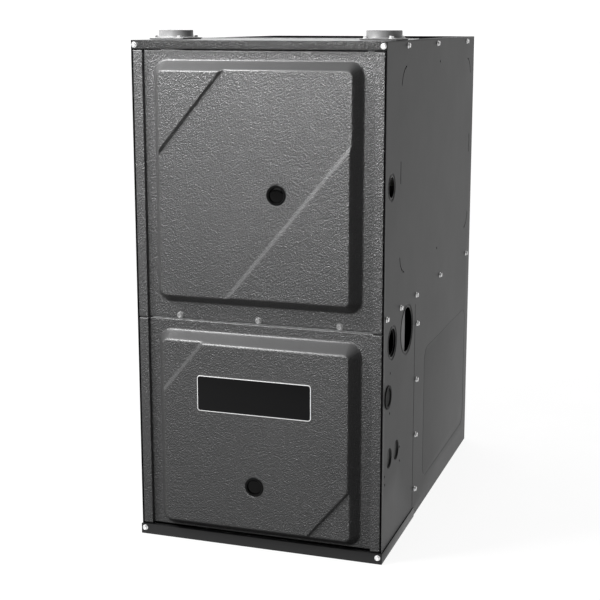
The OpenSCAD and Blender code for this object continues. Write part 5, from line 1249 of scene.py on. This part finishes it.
# %% [markdown]
# ## Floor and light
#
# The photograph shows the furnace cut out on white. The floor is a plain sheet that glows, so that
# it reads as white and still takes a faint shadow. The sky is white to the camera, but its light is
# stronger from behind and from the left, because the right side is the darker one. Light linking
# keeps the floor's glow off the door skins, whose undersides are dark in the photograph, and one
# large soft lamp lights only them instead. A small lamp above the doors draws the bright edges of
# the pressed panels and of the collars. It casts no shadow.

# %% Floor and sky
bm = bmesh.new()
bmesh.ops.create_grid(bm, x_segments=2, y_segments=2, size=30)
floor_mesh = bpy.data.meshes.new("floor")
bm.to_mesh(floor_mesh)
bm.free()
floor = bpy.data.objects.new("floor", floor_mesh)
scene.collection.objects.link(floor)
floor_white = finish("floor_white", (0.15, 0.15, 0.15), 0.8, vary=0.01, Specular_IOR_Level=0.1,
                     Emission_Color=(1, 1, 1, 1), Emission_Strength=0.9)
floor_mesh.materials.append(floor_white)

world = bpy.data.worlds.new("studio")
scene.world = world
world.use_nodes = True
sky = world.node_tree
direction = add(sky, "SeparateXYZ", i0=sky.nodes.new("ShaderNodeTexCoord").outputs["Generated"])
leftness = math_node(sky, "MULTIPLY_ADD", direction.outputs["X"], -0.9, direction.outputs["Y"])
level = add(sky, "MapRange", Value=leftness, i1=-0.6, i2=0.9, i3=0.12, i4=1.15)
seen = sky.nodes.new("ShaderNodeLightPath").outputs["Is Camera Ray"]
background = sky.nodes["Background"].inputs
background["Color"].default_value = (1, 1, 1, 1)
sky.links.new(math_node(sky, "MAXIMUM", seen, level.outputs[0]), background["Strength"])
print("floor and sky made")

# %% Lamps and light linking
SKINS = ("upper_door_skin", "lower_door_skin")


def area_light(name, where, look, size, power):
    """A lamp in the shape of a rectangle that looks at a point; its power is in watts."""
    data = bpy.data.lights.new(name, "AREA")
    data.shape = "RECTANGLE"
    data.size, data.size_y = size
    data.energy = power
    lamp = bpy.data.objects.new(name, data)
    lamp.location = where
    lamp.rotation_euler = (look - where).to_track_quat("-Z", "Y").to_euler()
    lamp.visible_camera = False
    scene.collection.objects.link(lamp)
    return lamp


def light_only(source, names):
    """Lets a lamp or a glowing object light nothing but the named objects."""
    receivers = bpy.data.collections.new("lit_by_" + source.name)
    for name in names:
        receivers.objects.link(bpy.data.objects[name])
    source.light_linking.receiver_collection = receivers


key = area_light("key", at(-430, -360, 1340), at(-40, 0, 700), (0.34, 0.24), 18.5)
key.data.use_shadow = False
light_only(key, SKINS + ("front_rail_skin", "intake_collar_moulding", "flue_collar_moulding",
                         "door_screw_heads"))
light_only(floor, [obj.name for obj in scene.objects if obj.type == "MESH" and obj.name not in SKINS])
area_light("slant", at(-1900, -1350, 2500), at(0, 0, 400), (0.7, 0.7), 75)
area_light("fill", at(-600, -2300, 1500), at(0, 0, 450), (1.2, 1.0), 11)
front = area_light("front", at(-700, -2500, 1500), at(0, 0, 400), (1.6, 1.4), 72)
light_only(front, SKINS)

# %% [markdown]
# ## Camera
#
# The camera's place, tilt and lens were fitted to the corners of the cabinet in the photograph, so
# the render lies over it. The small shift moves the picture without changing its perspective.

# %% Camera
camera_data = bpy.data.cameras.new("camera")
camera = bpy.data.objects.new("camera", camera_data)
scene.collection.objects.link(camera)
camera.location = at(745.49, -1990.52, 906.66)
camera.rotation_euler = (math.radians(90 - 11.070), 0, math.radians(18.392))
camera_data.lens = 77.23
camera_data.sensor_width = 36
camera_data.shift_x = -0.00615
camera_data.shift_y = -0.0446
camera_data.clip_start = 0.02
scene.camera = camera
scene.view_settings.view_transform = "Standard"
print("camera lens: %.2f mm" % camera_data.lens)
